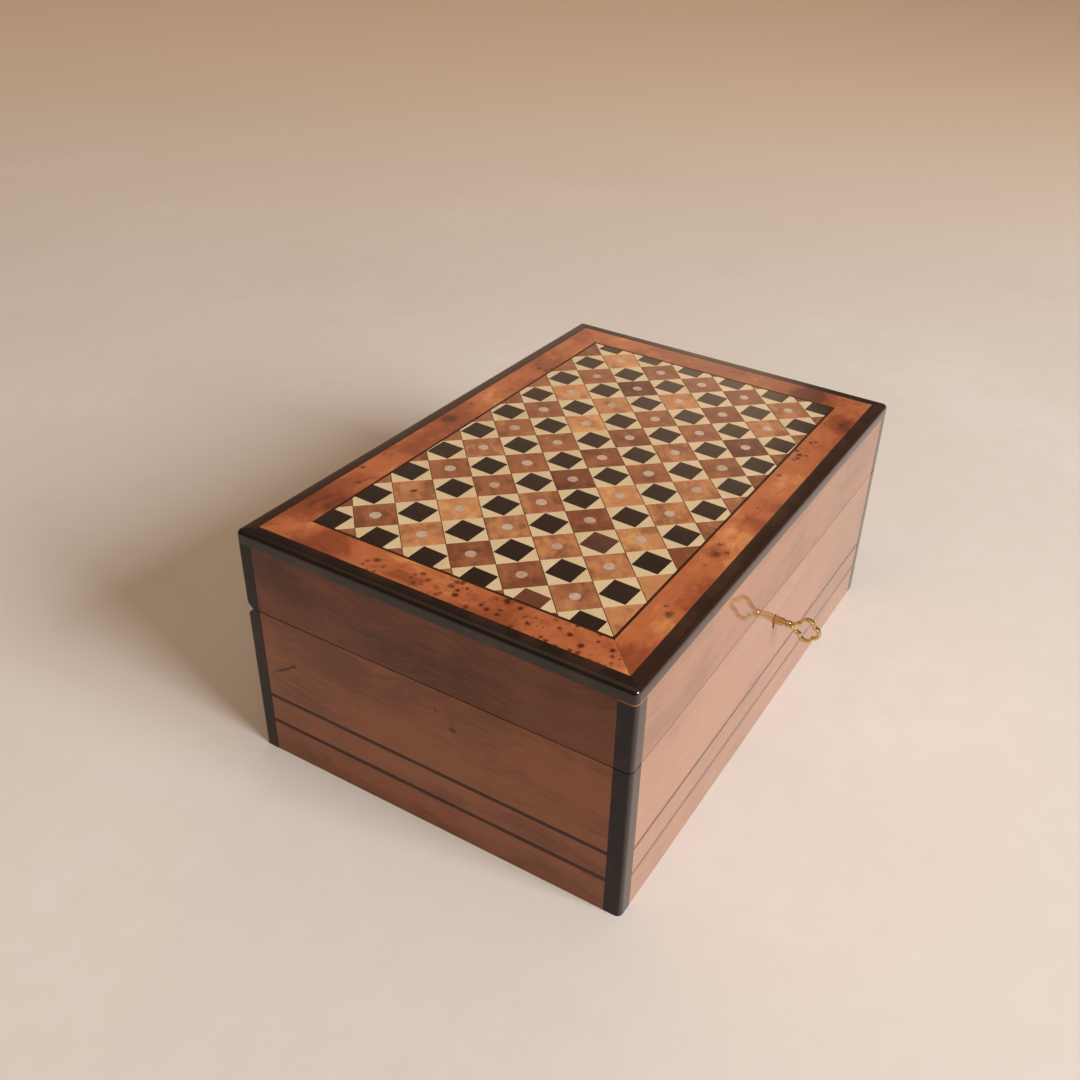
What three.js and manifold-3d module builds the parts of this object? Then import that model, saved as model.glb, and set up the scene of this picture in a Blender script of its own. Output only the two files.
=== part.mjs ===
// A thuya-wood jewellery box with a marquetry lid, a mortised box lock and its brass key.
// Millimetres, +Z up. The origin is the middle of the underside, X runs along the front,
// and the front wall with the key faces -Y. The pieces stand as the closed, unlocked box.
import * as THREE from "three";
import { mergeVertices } from "three/addons/utils/BufferGeometryUtils.js";
import Module from "manifold-3d";

// ---- Driving dimensions -------------------------------------------------------------

// Carcass
const BOX_LENGTH = 280;
const BOX_DEPTH = 190;
const BODY_HEIGHT = 78.6;
const LID_RAIL_HEIGHT = 32.9;
const PARTING_GAP = 0.5;
const WALL = 10;
const BOTTOM_BOARD = 6;
const GLUE_LINE = 0.05;

// Ebony posts let into the four corners
const POST = 7.8;
const POST_ROUND = 2.6;

// Lid top: board, edging, veneers
const LID_BOARD = 5;
const VENEER = 1;
const EDGING_WIDTH = 7;
const EDGING_ROUND = 2.5;
const BURL_WIDTH = 15;
const FIELD_STRING_WIDTH = 1.2;

// Ebony strings let into the faces of the body
const STRING_HEIGHT = 1.8;
const STRING_DEPTH = 1;
const STRING_LEVELS = { lower: 17.9, upper: 32.9 };

// Bevels along the back edge, which stop the open lid
const BACK_BEVEL = 4;

// Butt hinges
const HINGE_SPACING = 160;
const HINGE_LENGTH = 30;
const LEAF_THICKNESS = 1.2;
const LEAF_WIDTH = 3.2;
const BARREL_RADIUS = 2;
const BARREL_CLEARANCE = 0.35;
const PIN_RADIUS = 1;
const PIN_CLEARANCE = 0.05;
const KNUCKLE_GAP = 0.25;
const END_KNUCKLE = 9;

// Screws
const SCREW_HEAD_RADIUS = 1.5;
const SCREW_HEAD_DEPTH = 0.9;
const SCREW_SHANK_RADIUS = 0.75;
const SCREW_LENGTH = 6.5;
const SCREW_TIP = 1.5;
const SCREW_EDGE = 0.3;
const SCREW_SLOT_WIDTH = 0.45;
const SCREW_SLOT_DEPTH = 0.45;
const SCREW_CLEARANCE = 0.1;
const HINGE_SCREW_SPACING = 19;

// Lock
const LOCK_OFFSET = 1.2;
const KEY_DROP = 16.6;
const LOCK_PLATE_LENGTH = 44;
const LOCK_PLATE_THICKNESS = 1.2;
const LOCK_DEPTH = 6.4;
const CASE_SHEET = 0.8;
const CASE_BELOW_BIT = 0.5;
const LOCK_SCREW_INSET = 2.2;
const MORTISE_CLEARANCE = 0.25;

// Bolt and strike
const BOLT_THROW = 5;
const BOLT_THICKNESS = 2.2;
const BOLT_BAR_HEIGHT = 4.6;
const BOLT_SIDE_PLAY = 0.4;
const BOLT_WEB = 0.8;
const BIT_BITE = 1.1;
const STEM_WIDTH = 1.8;
const PRONG_HEIGHT = 2;
const PRONG_CLEARANCE = 0.3;
const PRONG_TIP_GAP = 0.6;
const STUMP_RADIUS = 0.75;
const HOOK_OFFSET = 7;
const HOOK_THICKNESS = 1.6;
const HOOK_WIDTH = 4.6;
const HOOK_FOOT = 1.4;
const HOOK_CLEARANCE = 0.45;
const STRIKE_LENGTH = 29;
const STRIKE_WIDTH = 6.6;
const STRIKE_SCREW_INSET = 2.4;
const SPRING_THICKNESS = 0.4;
const SPRING_WIDTH = 3;

// Key
const KEY_SHAFT_RADIUS = 2;
const KEY_BORE_RADIUS = 1.05;
const KEY_BORE_DEPTH = 6;
const DRILL_PIN_CLEARANCE = 0.1;
const KEY_TIP_GAP = 0.5;
const KEYHOLE_CLEARANCE = 0.35;
const BIT_REACH = 4.9;
const BIT_WIDTH = 3.8;
const BIT_THICKNESS = 1.5;
const BOW_STANDOFF = 16.2;
const BOW_THICKNESS = 2.2;
const BOW_BEVEL = 0.5;
const BOW_LOBE_OFFSET = 3;
const BOW_LOBE_RADIUS = 3.8;
const BOW_HOLE_OFFSET = 2.7;
const BOW_HOLE_RADIUS = 2.4;

// Smoothness of round shapes, in flats per full circle
const FINE = 32;
const COARSE = 16;

// ---- Places worked out from them ----------------------------------------------------

const HALF_X = BOX_LENGTH / 2;
const HALF_Y = BOX_DEPTH / 2;
const LID_BOTTOM = BODY_HEIGHT + PARTING_GAP;
const RAIL_TOP = LID_BOTTOM + LID_RAIL_HEIGHT;
const BOARD_TOP = RAIL_TOP + LID_BOARD;
const BOX_TOP = BOARD_TOP + VENEER;
const FRONT_INNER_Y = -HALF_Y + WALL;

const LEAF_REACH = BARREL_RADIUS + LEAF_WIDTH;
const HINGE_Y = HALF_Y - BACK_BEVEL;
const HINGE_Z = (BODY_HEIGHT + LID_BOTTOM) / 2;

const KEY_Z = BODY_HEIGHT - KEY_DROP;
const PLATE_FRONT_Y = FRONT_INNER_Y - LOCK_PLATE_THICKNESS;
const CASE_FRONT_Y = PLATE_FRONT_Y - LOCK_DEPTH;
const BOLT_Y = PLATE_FRONT_Y - (LOCK_DEPTH - CASE_SHEET) / 2;
const BAR_BOTTOM_Z = KEY_Z + BIT_REACH - BIT_BITE;
const BAR_TOP_Z = BAR_BOTTOM_Z + BOLT_BAR_HEIGHT;
const HOOK_BOTTOM_Z = BAR_TOP_Z + HOOK_CLEARANCE + PRONG_CLEARANCE;
const PRONG_Z = HOOK_BOTTOM_Z + HOOK_FOOT + PRONG_CLEARANCE;
const STEM_RIGHT = HOOK_OFFSET - HOOK_THICKNESS / 2 - BOLT_THROW - PRONG_CLEARANCE;
const PRONG_TIP = HOOK_OFFSET - HOOK_THICKNESS / 2 - PRONG_TIP_GAP;
const BAR_LEFT = STEM_RIGHT - 2 * HOOK_OFFSET - STEM_WIDTH;
const BAR_RIGHT = PRONG_TIP + HOOK_THICKNESS;
const CASE_HALF_LENGTH = -BAR_LEFT + BOLT_SIDE_PLAY + CASE_SHEET;
const LOCK_BOTTOM_Z = KEY_Z - Math.hypot(BIT_REACH, BIT_THICKNESS / 2) - CASE_BELOW_BIT - CASE_SHEET;

// ---- Geometry helpers ---------------------------------------------------------------

const wasm = await Module();
wasm.setup();

// A closed geometry as a manifold-3d solid.
function toSolid(geometry) {
  const loose = geometry.index ? geometry.toNonIndexed() : geometry;
  const bare = new THREE.BufferGeometry();
  bare.setAttribute("position", loose.getAttribute("position"));
  const merged = mergeVertices(bare, 1e-4);
  return new wasm.Manifold(
    new wasm.Mesh({
      numProp: 3,
      vertProperties: merged.getAttribute("position").array,
      triVerts: new Uint32Array(merged.index.array),
    }),
  );
}

// A manifold-3d solid as a geometry, shaded flat.
function toGeometry(solid) {
  const mesh = solid.getMesh();
  const geometry = new THREE.BufferGeometry();
  geometry.setAttribute("position", new THREE.BufferAttribute(new Float32Array(mesh.vertProperties), 3));
  geometry.setIndex(new THREE.BufferAttribute(new Uint32Array(mesh.triVerts), 1));
  const flat = geometry.toNonIndexed();
  flat.computeVertexNormals();
  return flat;
}

function cut(geometry, ...cutters) {
  return toGeometry(cutters.reduce((left, cutter) => left.subtract(toSolid(cutter)), toSolid(geometry)));
}

function join(geometry, ...others) {
  return toGeometry(others.reduce((whole, other) => whole.add(toSolid(other)), toSolid(geometry)));
}

function common(a, b) {
  return toGeometry(toSolid(a).intersect(toSolid(b)));
}

function block(x0, x1, y0, y1, z0, z1) {
  const geometry = new THREE.BoxGeometry(x1 - x0, y1 - y0, z1 - z0);
  return geometry.translate((x0 + x1) / 2, (y0 + y1) / 2, (z0 + z1) / 2);
}

function polygon(points) {
  return new THREE.Shape(points.map(([x, y]) => new THREE.Vector2(x, y)));
}

// An outline in X and Y, or a ready Shape, extruded from z0 to z1.
function prismZ(outline, z0, z1, curveSegments = FINE / 4) {
  const shape = Array.isArray(outline) ? polygon(outline) : outline;
  const geometry = new THREE.ExtrudeGeometry(shape, { depth: z1 - z0, bevelEnabled: false, curveSegments });
  return geometry.translate(0, 0, z0);
}

// An outline in Y and Z, extruded from x0 to x1.
function prismX(outline, x0, x1, curveSegments) {
  const turn = new THREE.Matrix4().makeBasis(
    new THREE.Vector3(0, 1, 0),
    new THREE.Vector3(0, 0, 1),
    new THREE.Vector3(1, 0, 0),
  );
  return prismZ(outline, x0, x1, curveSegments).applyMatrix4(turn);
}

// An outline in X and Z, extruded from y0 to y1.
function prismY(outline, y0, y1, curveSegments) {
  const turn = new THREE.Matrix4().makeBasis(
    new THREE.Vector3(1, 0, 0),
    new THREE.Vector3(0, 0, 1),
    new THREE.Vector3(0, -1, 0),
  );
  return prismZ(outline, -y1, -y0, curveSegments).applyMatrix4(turn);
}

// A profile of [radius, height] points turned about the Z axis.
function turned(profile, segments) {
  const points = profile.map(([radius, height]) => new THREE.Vector2(radius, height));
  return new THREE.LatheGeometry(points, segments).rotateX(Math.PI / 2);
}

// A ring or disc outline about the origin.
function ringShape(radius, holeRadius) {
  const shape = new THREE.Shape();
  shape.absarc(0, 0, radius, 0, 2 * Math.PI, false);
  if (holeRadius) {
    const hole = new THREE.Path();
    hole.absarc(0, 0, holeRadius, 0, 2 * Math.PI, true);
    shape.holes.push(hole);
  }
  return shape;
}

function rodX(radius, x0, x1, segments = COARSE) {
  return prismX(ringShape(radius), x0, x1, segments);
}

function rodY(radius, y0, y1, segments = COARSE) {
  return prismY(ringShape(radius), y0, y1, segments);
}

// ---- The scene ----------------------------------------------------------------------

function finish(color, roughness, metalness = 0) {
  return new THREE.MeshStandardMaterial({ color, roughness, metalness });
}

const THUYA = finish(0x8a5236, 0.3);
const CARCASS_WOOD = finish(0x9a6a45, 0.5);
const BURL = finish(0xb0602f, 0.25);
const EBONY = finish(0x2a1f1a, 0.25);
const MARQUETRY = finish(0xc08a58, 0.25);
const BRASS = finish(0xbf9a58, 0.3, 1);
const SPRING_STEEL = finish(0x8d9196, 0.35, 1);

const box = new THREE.Group();
const body = new THREE.Group();
const lid = new THREE.Group();
const lock = new THREE.Group();
box.add(body, lid, lock);

function place(group, name, geometry, material, x = 0, y = 0, z = 0) {
  const mesh = new THREE.Mesh(geometry, material);
  mesh.name = name;
  mesh.position.set(x, y, z);
  group.add(mesh);
  return mesh;
}

// ---- Carcass pieces, used for the body and for the lid ------------------------------

// What the bevel takes off the back edge: under the parting line for the body, over it for the lid.
function backBevel(edgeZ, up) {
  const over = 1;
  const out = HALF_Y + over;
  return prismX(
    up > 0
      ? [[HINGE_Y, edgeZ], [HINGE_Y, edgeZ - over], [out, edgeZ - over], [out, edgeZ + BACK_BEVEL + over]]
      : [[HINGE_Y, edgeZ], [out, edgeZ - BACK_BEVEL - over], [out, edgeZ + over], [HINGE_Y, edgeZ + over]],
    -HALF_X - over,
    HALF_X + over,
  );
}

// The front wall or rail, between the posts, its outer face towards -Y.
function longWall(z0, z1) {
  const end = HALF_X - POST - GLUE_LINE;
  return block(-end, end, -HALF_Y, -HALF_Y + WALL, z0, z1);
}

// The right wall or rail: rebated at its ends, where it meets the posts and the long walls.
function sideWall(z0, z1) {
  const postEnd = HALF_Y - POST - GLUE_LINE;
  const wallEnd = HALF_Y - WALL - GLUE_LINE;
  const rebateX = HALF_X - POST;
  const innerX = HALF_X - WALL;
  return prismZ(
    [
      [innerX, -wallEnd],
      [rebateX, -wallEnd],
      [rebateX, -postEnd],
      [HALF_X, -postEnd],
      [HALF_X, postEnd],
      [rebateX, postEnd],
      [rebateX, wallEnd],
      [innerX, wallEnd],
    ],
    z0,
    z1,
  );
}

// A corner post for the front left corner, its outer edge rounded.
function cornerPost(z0, z1) {
  const shape = new THREE.Shape();
  shape.moveTo(-HALF_X + POST_ROUND, -HALF_Y);
  shape.lineTo(-HALF_X + POST, -HALF_Y);
  shape.lineTo(-HALF_X + POST, -HALF_Y + POST);
  shape.lineTo(-HALF_X, -HALF_Y + POST);
  shape.lineTo(-HALF_X, -HALF_Y + POST_ROUND);
  shape.absarc(-HALF_X + POST_ROUND, -HALF_Y + POST_ROUND, POST_ROUND, Math.PI, 1.5 * Math.PI, false);
  return prismZ(shape, z0, z1);
}

// The same post mirrored to the corner with the given signs of X and Y.
function postAt(signX, signY, z0, z1) {
  const post = cornerPost(z0, z1);
  if (signX > 0) turnOver(post, 0);
  if (signY > 0) turnOver(post, 1);
  return post;
}

// Mirrors a geometry in X (0), Y (1) or Z (2), and keeps its faces outwards.
function turnOver(geometry, axis) {
  const scale = [1, 1, 1];
  scale[axis] = -1;
  geometry.scale(...scale);
  const position = geometry.getAttribute("position");
  for (let i = 0; i < position.count; i += 3) {
    for (let k = 0; k < 3; k += 1) {
      const kept = position.getComponent(i + 1, k);
      position.setComponent(i + 1, k, position.getComponent(i + 2, k));
      position.setComponent(i + 2, k, kept);
    }
  }
  return geometry;
}

const CORNERS = [
  ["front_left", -1, -1],
  ["front_right", 1, -1],
  ["back_left", -1, 1],
  ["back_right", 1, 1],
];

// ---- Screws -------------------------------------------------------------------------

// What a countersunk screw takes out of a plate and of the wood under it; it points down -Z.
function screwHole(length) {
  const head = SCREW_HEAD_RADIUS + SCREW_CLEARANCE;
  const shank = SCREW_SHANK_RADIUS + SCREW_CLEARANCE;
  const end = -length - SCREW_CLEARANCE;
  const over = 0.5;
  const profile = [[0, end], [shank, end], [shank, -SCREW_HEAD_DEPTH], [head, 0], [head, over], [0, over]];
  return turned(profile, COARSE);
}

function screw() {
  const rod = turned(
    [
      [0, -SCREW_LENGTH],
      [SCREW_SHANK_RADIUS, -SCREW_LENGTH + SCREW_TIP],
      [SCREW_SHANK_RADIUS, -SCREW_HEAD_DEPTH],
      [SCREW_HEAD_RADIUS, -SCREW_CLEARANCE],
      [0, -SCREW_CLEARANCE],
    ],
    COARSE,
  );
  const half = SCREW_SLOT_WIDTH / 2;
  const reach = SCREW_HEAD_RADIUS + 1;
  return cut(rod, block(-reach, reach, -half, half, -SCREW_CLEARANCE - SCREW_SLOT_DEPTH, 1));
}

const SCREW = screw();

// ---- Hinges -------------------------------------------------------------------------

const HINGE_SCREWS = [-HINGE_SCREW_SPACING / 2, HINGE_SCREW_SPACING / 2];
const HINGE_SCREW_Y = -LEAF_REACH + SCREW_HEAD_RADIUS + SCREW_EDGE;
const HINGE_CENTRES = { left: -HINGE_SPACING / 2, right: HINGE_SPACING / 2 };

// A leaf about the pin's axis. up is -1 for the leaf on the body and 1 for the leaf on the lid.
function hingeLeaf(up) {
  const half = HINGE_LENGTH / 2;
  const face = (up * PARTING_GAP) / 2;
  const z0 = Math.min(face, face + up * LEAF_THICKNESS);
  const z1 = z0 + LEAF_THICKNESS;
  const clear = -(BARREL_RADIUS + BARREL_CLEARANCE);
  const root = -(PIN_RADIUS + BARREL_RADIUS) / 2 + 0.1;
  const middle = half - END_KNUCKLE;
  const spans = up < 0
    ? [[-half, -middle - KNUCKLE_GAP / 2], [middle + KNUCKLE_GAP / 2, half]]
    : [[-middle + KNUCKLE_GAP / 2, middle - KNUCKLE_GAP / 2]];
  const knuckles = spans.flatMap(([x0, x1]) => [
    block(x0, x1, clear - 1, root, z0, z1),
    prismX(ringShape(BARREL_RADIUS, PIN_RADIUS + PIN_CLEARANCE), x0, x1, FINE / 2),
  ]);
  const leaf = join(block(-half, half, -LEAF_REACH, clear, z0, z1), ...knuckles);
  const holes = HINGE_SCREWS.map((x) =>
    flipped(screwHole(SCREW_LENGTH), up).translate(x, HINGE_SCREW_Y, face));
  return cut(leaf, ...holes);
}

// Turns what points down -Z to point up +Z, where up is positive.
function flipped(geometry, up) {
  return up > 0 ? geometry.rotateX(Math.PI) : geometry;
}

// What both hinges take out of the wood on one side of the parting line.
function hingeMortises(up) {
  const half = HINGE_LENGTH / 2 + MORTISE_CLEARANCE;
  const faceZ = HINGE_Z + (up * PARTING_GAP) / 2;
  const floorZ = faceZ + up * (LEAF_THICKNESS + SCREW_CLEARANCE);
  const past = faceZ - up;
  return Object.values(HINGE_CENTRES).flatMap((x) => [
    block(
      x - half,
      x + half,
      HINGE_Y - LEAF_REACH - MORTISE_CLEARANCE,
      HINGE_Y,
      Math.min(floorZ, past),
      Math.max(floorZ, past),
    ),
    rodX(BARREL_RADIUS + BARREL_CLEARANCE, x - half, x + half).translate(0, HINGE_Y, HINGE_Z),
    ...HINGE_SCREWS.map((dx) =>
      flipped(screwHole(SCREW_LENGTH), up).translate(x + dx, HINGE_Y + HINGE_SCREW_Y, faceZ)),
  ]);
}

// ---- Body ---------------------------------------------------------------------------

// The groove for one string, cut into a face of the long or the side walls.
function stringGroove(level, x0, x1, y0, y1, spare) {
  const half = STRING_HEIGHT / 2 + spare;
  return block(x0, x1, y0, y1, level - half, level + half);
}

function bodyLongWall() {
  const grooves = Object.values(STRING_LEVELS).map((level) =>
    stringGroove(level, -HALF_X, HALF_X, -HALF_Y - 1, -HALF_Y + STRING_DEPTH + GLUE_LINE, GLUE_LINE));
  return cut(longWall(0, BODY_HEIGHT), ...grooves);
}

function bodySideWall() {
  const grooves = Object.values(STRING_LEVELS).map((level) =>
    stringGroove(level, HALF_X - STRING_DEPTH - GLUE_LINE, HALF_X + 1, -HALF_Y, HALF_Y, GLUE_LINE));
  return cut(sideWall(0, BODY_HEIGHT), ...grooves);
}

// The keyhole: round for the shaft, with a slot under it for the bit.
function keyhole(y0, y1) {
  const half = BIT_THICKNESS / 2 + KEYHOLE_CLEARANCE / 2;
  return join(
    rodY(KEY_SHAFT_RADIUS + KEYHOLE_CLEARANCE, y0, y1).translate(LOCK_OFFSET, 0, KEY_Z),
    block(LOCK_OFFSET - half, LOCK_OFFSET + half, y0, y1, KEY_Z - BIT_REACH - KEYHOLE_CLEARANCE, KEY_Z),
  );
}

// The mortise for the lock, open to the inside and to the top.
function lockMortise() {
  const plate = LOCK_PLATE_LENGTH / 2 + MORTISE_CLEARANCE;
  const pan = CASE_HALF_LENGTH + MORTISE_CLEARANCE;
  const plateFront = PLATE_FRONT_Y - SCREW_CLEARANCE;
  const top = BODY_HEIGHT + 1;
  const inside = FRONT_INNER_Y + 1;
  const front = CASE_FRONT_Y - MORTISE_CLEARANCE;
  const under = LOCK_BOTTOM_Z - MORTISE_CLEARANCE;
  const selvedge = BODY_HEIGHT - LOCK_PLATE_THICKNESS - SCREW_CLEARANCE;
  return [
    block(LOCK_OFFSET - plate, LOCK_OFFSET + plate, plateFront, inside, under - CASE_SHEET, top),
    block(LOCK_OFFSET - pan, LOCK_OFFSET + pan, front, inside, under, top),
    block(LOCK_OFFSET - plate, LOCK_OFFSET + plate, front, inside, selvedge, top),
  ];
}

const LOCK_SCREW_X = LOCK_PLATE_LENGTH / 2 - LOCK_SCREW_INSET;

function lockScrewHoles() {
  return [-LOCK_SCREW_X, LOCK_SCREW_X].map((x) =>
    screwHole(SCREW_LENGTH).rotateX(-Math.PI / 2).translate(LOCK_OFFSET + x, FRONT_INNER_Y, KEY_Z));
}

const frontCuts = [...lockMortise(), keyhole(-HALF_Y - 1, FRONT_INNER_Y), ...lockScrewHoles()];
const frontWall = cut(bodyLongWall(), ...frontCuts);
const backWall = cut(bodyLongWall().rotateZ(Math.PI), backBevel(BODY_HEIGHT, -1), ...hingeMortises(-1));
place(body, "front_wall", frontWall, THUYA);
place(body, "back_wall", backWall, THUYA);
place(body, "right_wall", cut(bodySideWall(), backBevel(BODY_HEIGHT, -1)), THUYA);
place(body, "left_wall", cut(turnOver(bodySideWall(), 0), backBevel(BODY_HEIGHT, -1)), THUYA);

const floorX = HALF_X - WALL - GLUE_LINE;
const floorY = HALF_Y - WALL - GLUE_LINE;
place(body, "bottom_board", block(-floorX, floorX, -floorY, floorY, 0, BOTTOM_BOARD), CARCASS_WOOD);

for (const [corner, signX, signY] of CORNERS) {
  const post = postAt(signX, signY, 0, BODY_HEIGHT);
  place(body, `body_post_${corner}`, cut(post, backBevel(BODY_HEIGHT, -1)), EBONY);
}

for (const [row, level] of Object.entries(STRING_LEVELS)) {
  const endX = HALF_X - POST - GLUE_LINE;
  const endY = HALF_Y - POST - GLUE_LINE;
  const alongX = stringGroove(level, -endX, endX, -STRING_DEPTH / 2, STRING_DEPTH / 2, 0);
  const alongY = stringGroove(level, -STRING_DEPTH / 2, STRING_DEPTH / 2, -endY, endY, 0);
  place(body, `${row}_string_front`, alongX, EBONY, 0, -HALF_Y + STRING_DEPTH / 2, 0);
  place(body, `${row}_string_back`, alongX, EBONY, 0, HALF_Y - STRING_DEPTH / 2, 0);
  place(body, `${row}_string_left`, alongY, EBONY, -HALF_X + STRING_DEPTH / 2, 0, 0);
  place(body, `${row}_string_right`, alongY, EBONY, HALF_X - STRING_DEPTH / 2, 0, 0);
}

// ---- Lid ----------------------------------------------------------------------------

const HOOK_SIDES = [-HOOK_OFFSET, HOOK_OFFSET];
const STRIKE_SCREW_X = STRIKE_LENGTH / 2 - STRIKE_SCREW_INSET;
const STRIKE_SCREWS = [-STRIKE_SCREW_X, STRIKE_SCREW_X];

function strikeMortise() {
  const halfX = STRIKE_LENGTH / 2 + MORTISE_CLEARANCE;
  const halfY = STRIKE_WIDTH / 2 + MORTISE_CLEARANCE;
  const floor = LID_BOTTOM + LEAF_THICKNESS + SCREW_CLEARANCE;
  return [
    block(LOCK_OFFSET - halfX, LOCK_OFFSET + halfX, BOLT_Y - halfY, BOLT_Y + halfY, LID_BOTTOM - 1, floor),
    ...STRIKE_SCREWS.map((x) =>
      flipped(screwHole(SCREW_LENGTH), 1).translate(LOCK_OFFSET + x, BOLT_Y, LID_BOTTOM)),
  ];
}

const railTop = RAIL_TOP - GLUE_LINE;
const backRail = longWall(LID_BOTTOM, railTop).rotateZ(Math.PI);
const leftRail = turnOver(sideWall(LID_BOTTOM, railTop), 0);
place(lid, "lid_rail_front", cut(longWall(LID_BOTTOM, railTop), ...strikeMortise()), THUYA);
place(lid, "lid_rail_back", cut(backRail, backBevel(LID_BOTTOM, 1), ...hingeMortises(1)), THUYA);
place(lid, "lid_rail_right", cut(sideWall(LID_BOTTOM, railTop), backBevel(LID_BOTTOM, 1)), THUYA);
place(lid, "lid_rail_left", cut(leftRail, backBevel(LID_BOTTOM, 1)), THUYA);

for (const [corner, signX, signY] of CORNERS) {
  const post = postAt(signX, signY, LID_BOTTOM, railTop);
  place(lid, `lid_post_${corner}`, cut(post, backBevel(LID_BOTTOM, 1)), EBONY);
}

const boardX = HALF_X - EDGING_WIDTH - GLUE_LINE;
const boardY = HALF_Y - EDGING_WIDTH - GLUE_LINE;
const lidBoard = block(-boardX, boardX, -boardY, boardY, RAIL_TOP, BOARD_TOP - GLUE_LINE);
place(lid, "lid_board", lidBoard, CARCASS_WOOD);

// Four mitred strips that frame a rectangle; inset is the outer edge's distance from the box's faces.
function mitredFrame(inset, width, z0, z1) {
  const x = HALF_X - inset;
  const y = HALF_Y - inset;
  const end = GLUE_LINE;
  const innerX = x - width;
  const innerY = y - width;
  const alongX = [[-x + end, -y], [x - end, -y], [innerX - end, -innerY], [-innerX + end, -innerY]];
  const alongY = [[x, -y + end], [x, y - end], [innerX, innerY - end], [innerX, -innerY + end]];
  return {
    front: prismZ(alongX, z0, z1),
    back: prismZ(alongX, z0, z1).rotateZ(Math.PI),
    right: prismZ(alongY, z0, z1),
    left: prismZ(alongY, z0, z1).rotateZ(Math.PI),
  };
}

// The lid's outer form: rounded at the corners and along the top edges.
function lidEnvelope() {
  const x = HALF_X - EDGING_ROUND;
  const y = HALF_Y - EDGING_ROUND;
  const turn = POST_ROUND - EDGING_ROUND;
  const shape = new THREE.Shape();
  shape.absarc(x - turn, y - turn, turn, 0, 0.5 * Math.PI, false);
  shape.absarc(-x + turn, y - turn, turn, 0.5 * Math.PI, Math.PI, false);
  shape.absarc(-x + turn, -y + turn, turn, Math.PI, 1.5 * Math.PI, false);
  shape.absarc(x - turn, -y + turn, turn, 1.5 * Math.PI, 2 * Math.PI, false);
  return new THREE.ExtrudeGeometry(shape, {
    depth: BOX_TOP - EDGING_ROUND,
    curveSegments: FINE / 4,
    bevelThickness: EDGING_ROUND,
    bevelSize: EDGING_ROUND,
    bevelSegments: FINE / 4,
  });
}

const envelope = lidEnvelope();
for (const [side, strip] of Object.entries(mitredFrame(0, EDGING_WIDTH, RAIL_TOP, BOX_TOP))) {
  place(lid, `edging_${side}`, common(strip, envelope), EBONY);
}
const burlFrame = mitredFrame(EDGING_WIDTH + GLUE_LINE, BURL_WIDTH - GLUE_LINE, BOARD_TOP, BOX_TOP);
for (const [side, strip] of Object.entries(burlFrame)) {
  place(lid, `burl_border_${side}`, strip, BURL);
}

const stringOuter = EDGING_WIDTH + BURL_WIDTH + GLUE_LINE;
const stringInner = EDGING_WIDTH + BURL_WIDTH + FIELD_STRING_WIDTH;
const fieldInset = stringInner + GLUE_LINE;

function panel(inset, z0, z1) {
  return block(-HALF_X + inset, HALF_X - inset, -HALF_Y + inset, HALF_Y - inset, z0, z1);
}

const fieldWindow = panel(stringInner, BOARD_TOP - 1, BOX_TOP + 1);
place(lid, "field_string", cut(panel(stringOuter, BOARD_TOP, BOX_TOP), fieldWindow), EBONY);
place(lid, "marquetry_panel", panel(fieldInset, BOARD_TOP, BOX_TOP), MARQUETRY);

// The strike: a plate flush with the lid's underside, with two eyes for the bolt's prongs.
function strikePlate() {
  const halfX = STRIKE_LENGTH / 2;
  const halfY = STRIKE_WIDTH / 2;
  const eyeHalfY = BOLT_THICKNESS / 2 + PRONG_CLEARANCE;
  const eyeTop = PRONG_Z + PRONG_HEIGHT + PRONG_CLEARANCE;
  const plate = block(-halfX, halfX, -halfY, halfY, LID_BOTTOM, LID_BOTTOM + LEAF_THICKNESS);
  const hooks = HOOK_SIDES.map((x) =>
    block(
      x - HOOK_THICKNESS / 2,
      x + HOOK_THICKNESS / 2,
      -HOOK_WIDTH / 2,
      HOOK_WIDTH / 2,
      HOOK_BOTTOM_Z,
      LID_BOTTOM + LEAF_THICKNESS / 2,
    ));
  const eyes = block(-halfX, halfX, -eyeHalfY, eyeHalfY, PRONG_Z - PRONG_CLEARANCE, eyeTop);
  const holes = STRIKE_SCREWS.map((x) => flipped(screwHole(SCREW_LENGTH), 1).translate(x, 0, LID_BOTTOM));
  return cut(join(plate, ...hooks), eyes, ...holes);
}

place(lid, "strike_plate", strikePlate(), BRASS, LOCK_OFFSET, BOLT_Y, 0);
for (const [i, x] of STRIKE_SCREWS.entries()) {
  const mesh = place(lid, `strike_screw_${i + 1}`, SCREW, BRASS, LOCK_OFFSET + x, BOLT_Y, LID_BOTTOM);
  mesh.rotation.x = Math.PI;
}

// ---- Hinges in place ----------------------------------------------------------------

const HINGE_PIN = rodX(PIN_RADIUS, -HINGE_LENGTH / 2, HINGE_LENGTH / 2);
const BODY_LEAF = hingeLeaf(-1);
const LID_LEAF = hingeLeaf(1);
for (const [side, centre] of Object.entries(HINGE_CENTRES)) {
  place(body, `hinge_leaf_body_${side}`, BODY_LEAF, BRASS, centre, HINGE_Y, HINGE_Z);
  place(body, `hinge_pin_${side}`, HINGE_PIN, BRASS, centre, HINGE_Y, HINGE_Z);
  place(lid, `hinge_leaf_lid_${side}`, LID_LEAF, BRASS, centre, HINGE_Y, HINGE_Z);
  for (const [i, x] of HINGE_SCREWS.entries()) {
    const y = HINGE_Y + HINGE_SCREW_Y;
    place(body, `body_hinge_screw_${side}_${i + 1}`, SCREW, BRASS, centre + x, y, BODY_HEIGHT);
    const upper = place(lid, `lid_hinge_screw_${side}_${i + 1}`, SCREW, BRASS, centre + x, y, LID_BOTTOM);
    upper.rotation.x = Math.PI;
  }
}

// ---- Lock ---------------------------------------------------------------------------

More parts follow.
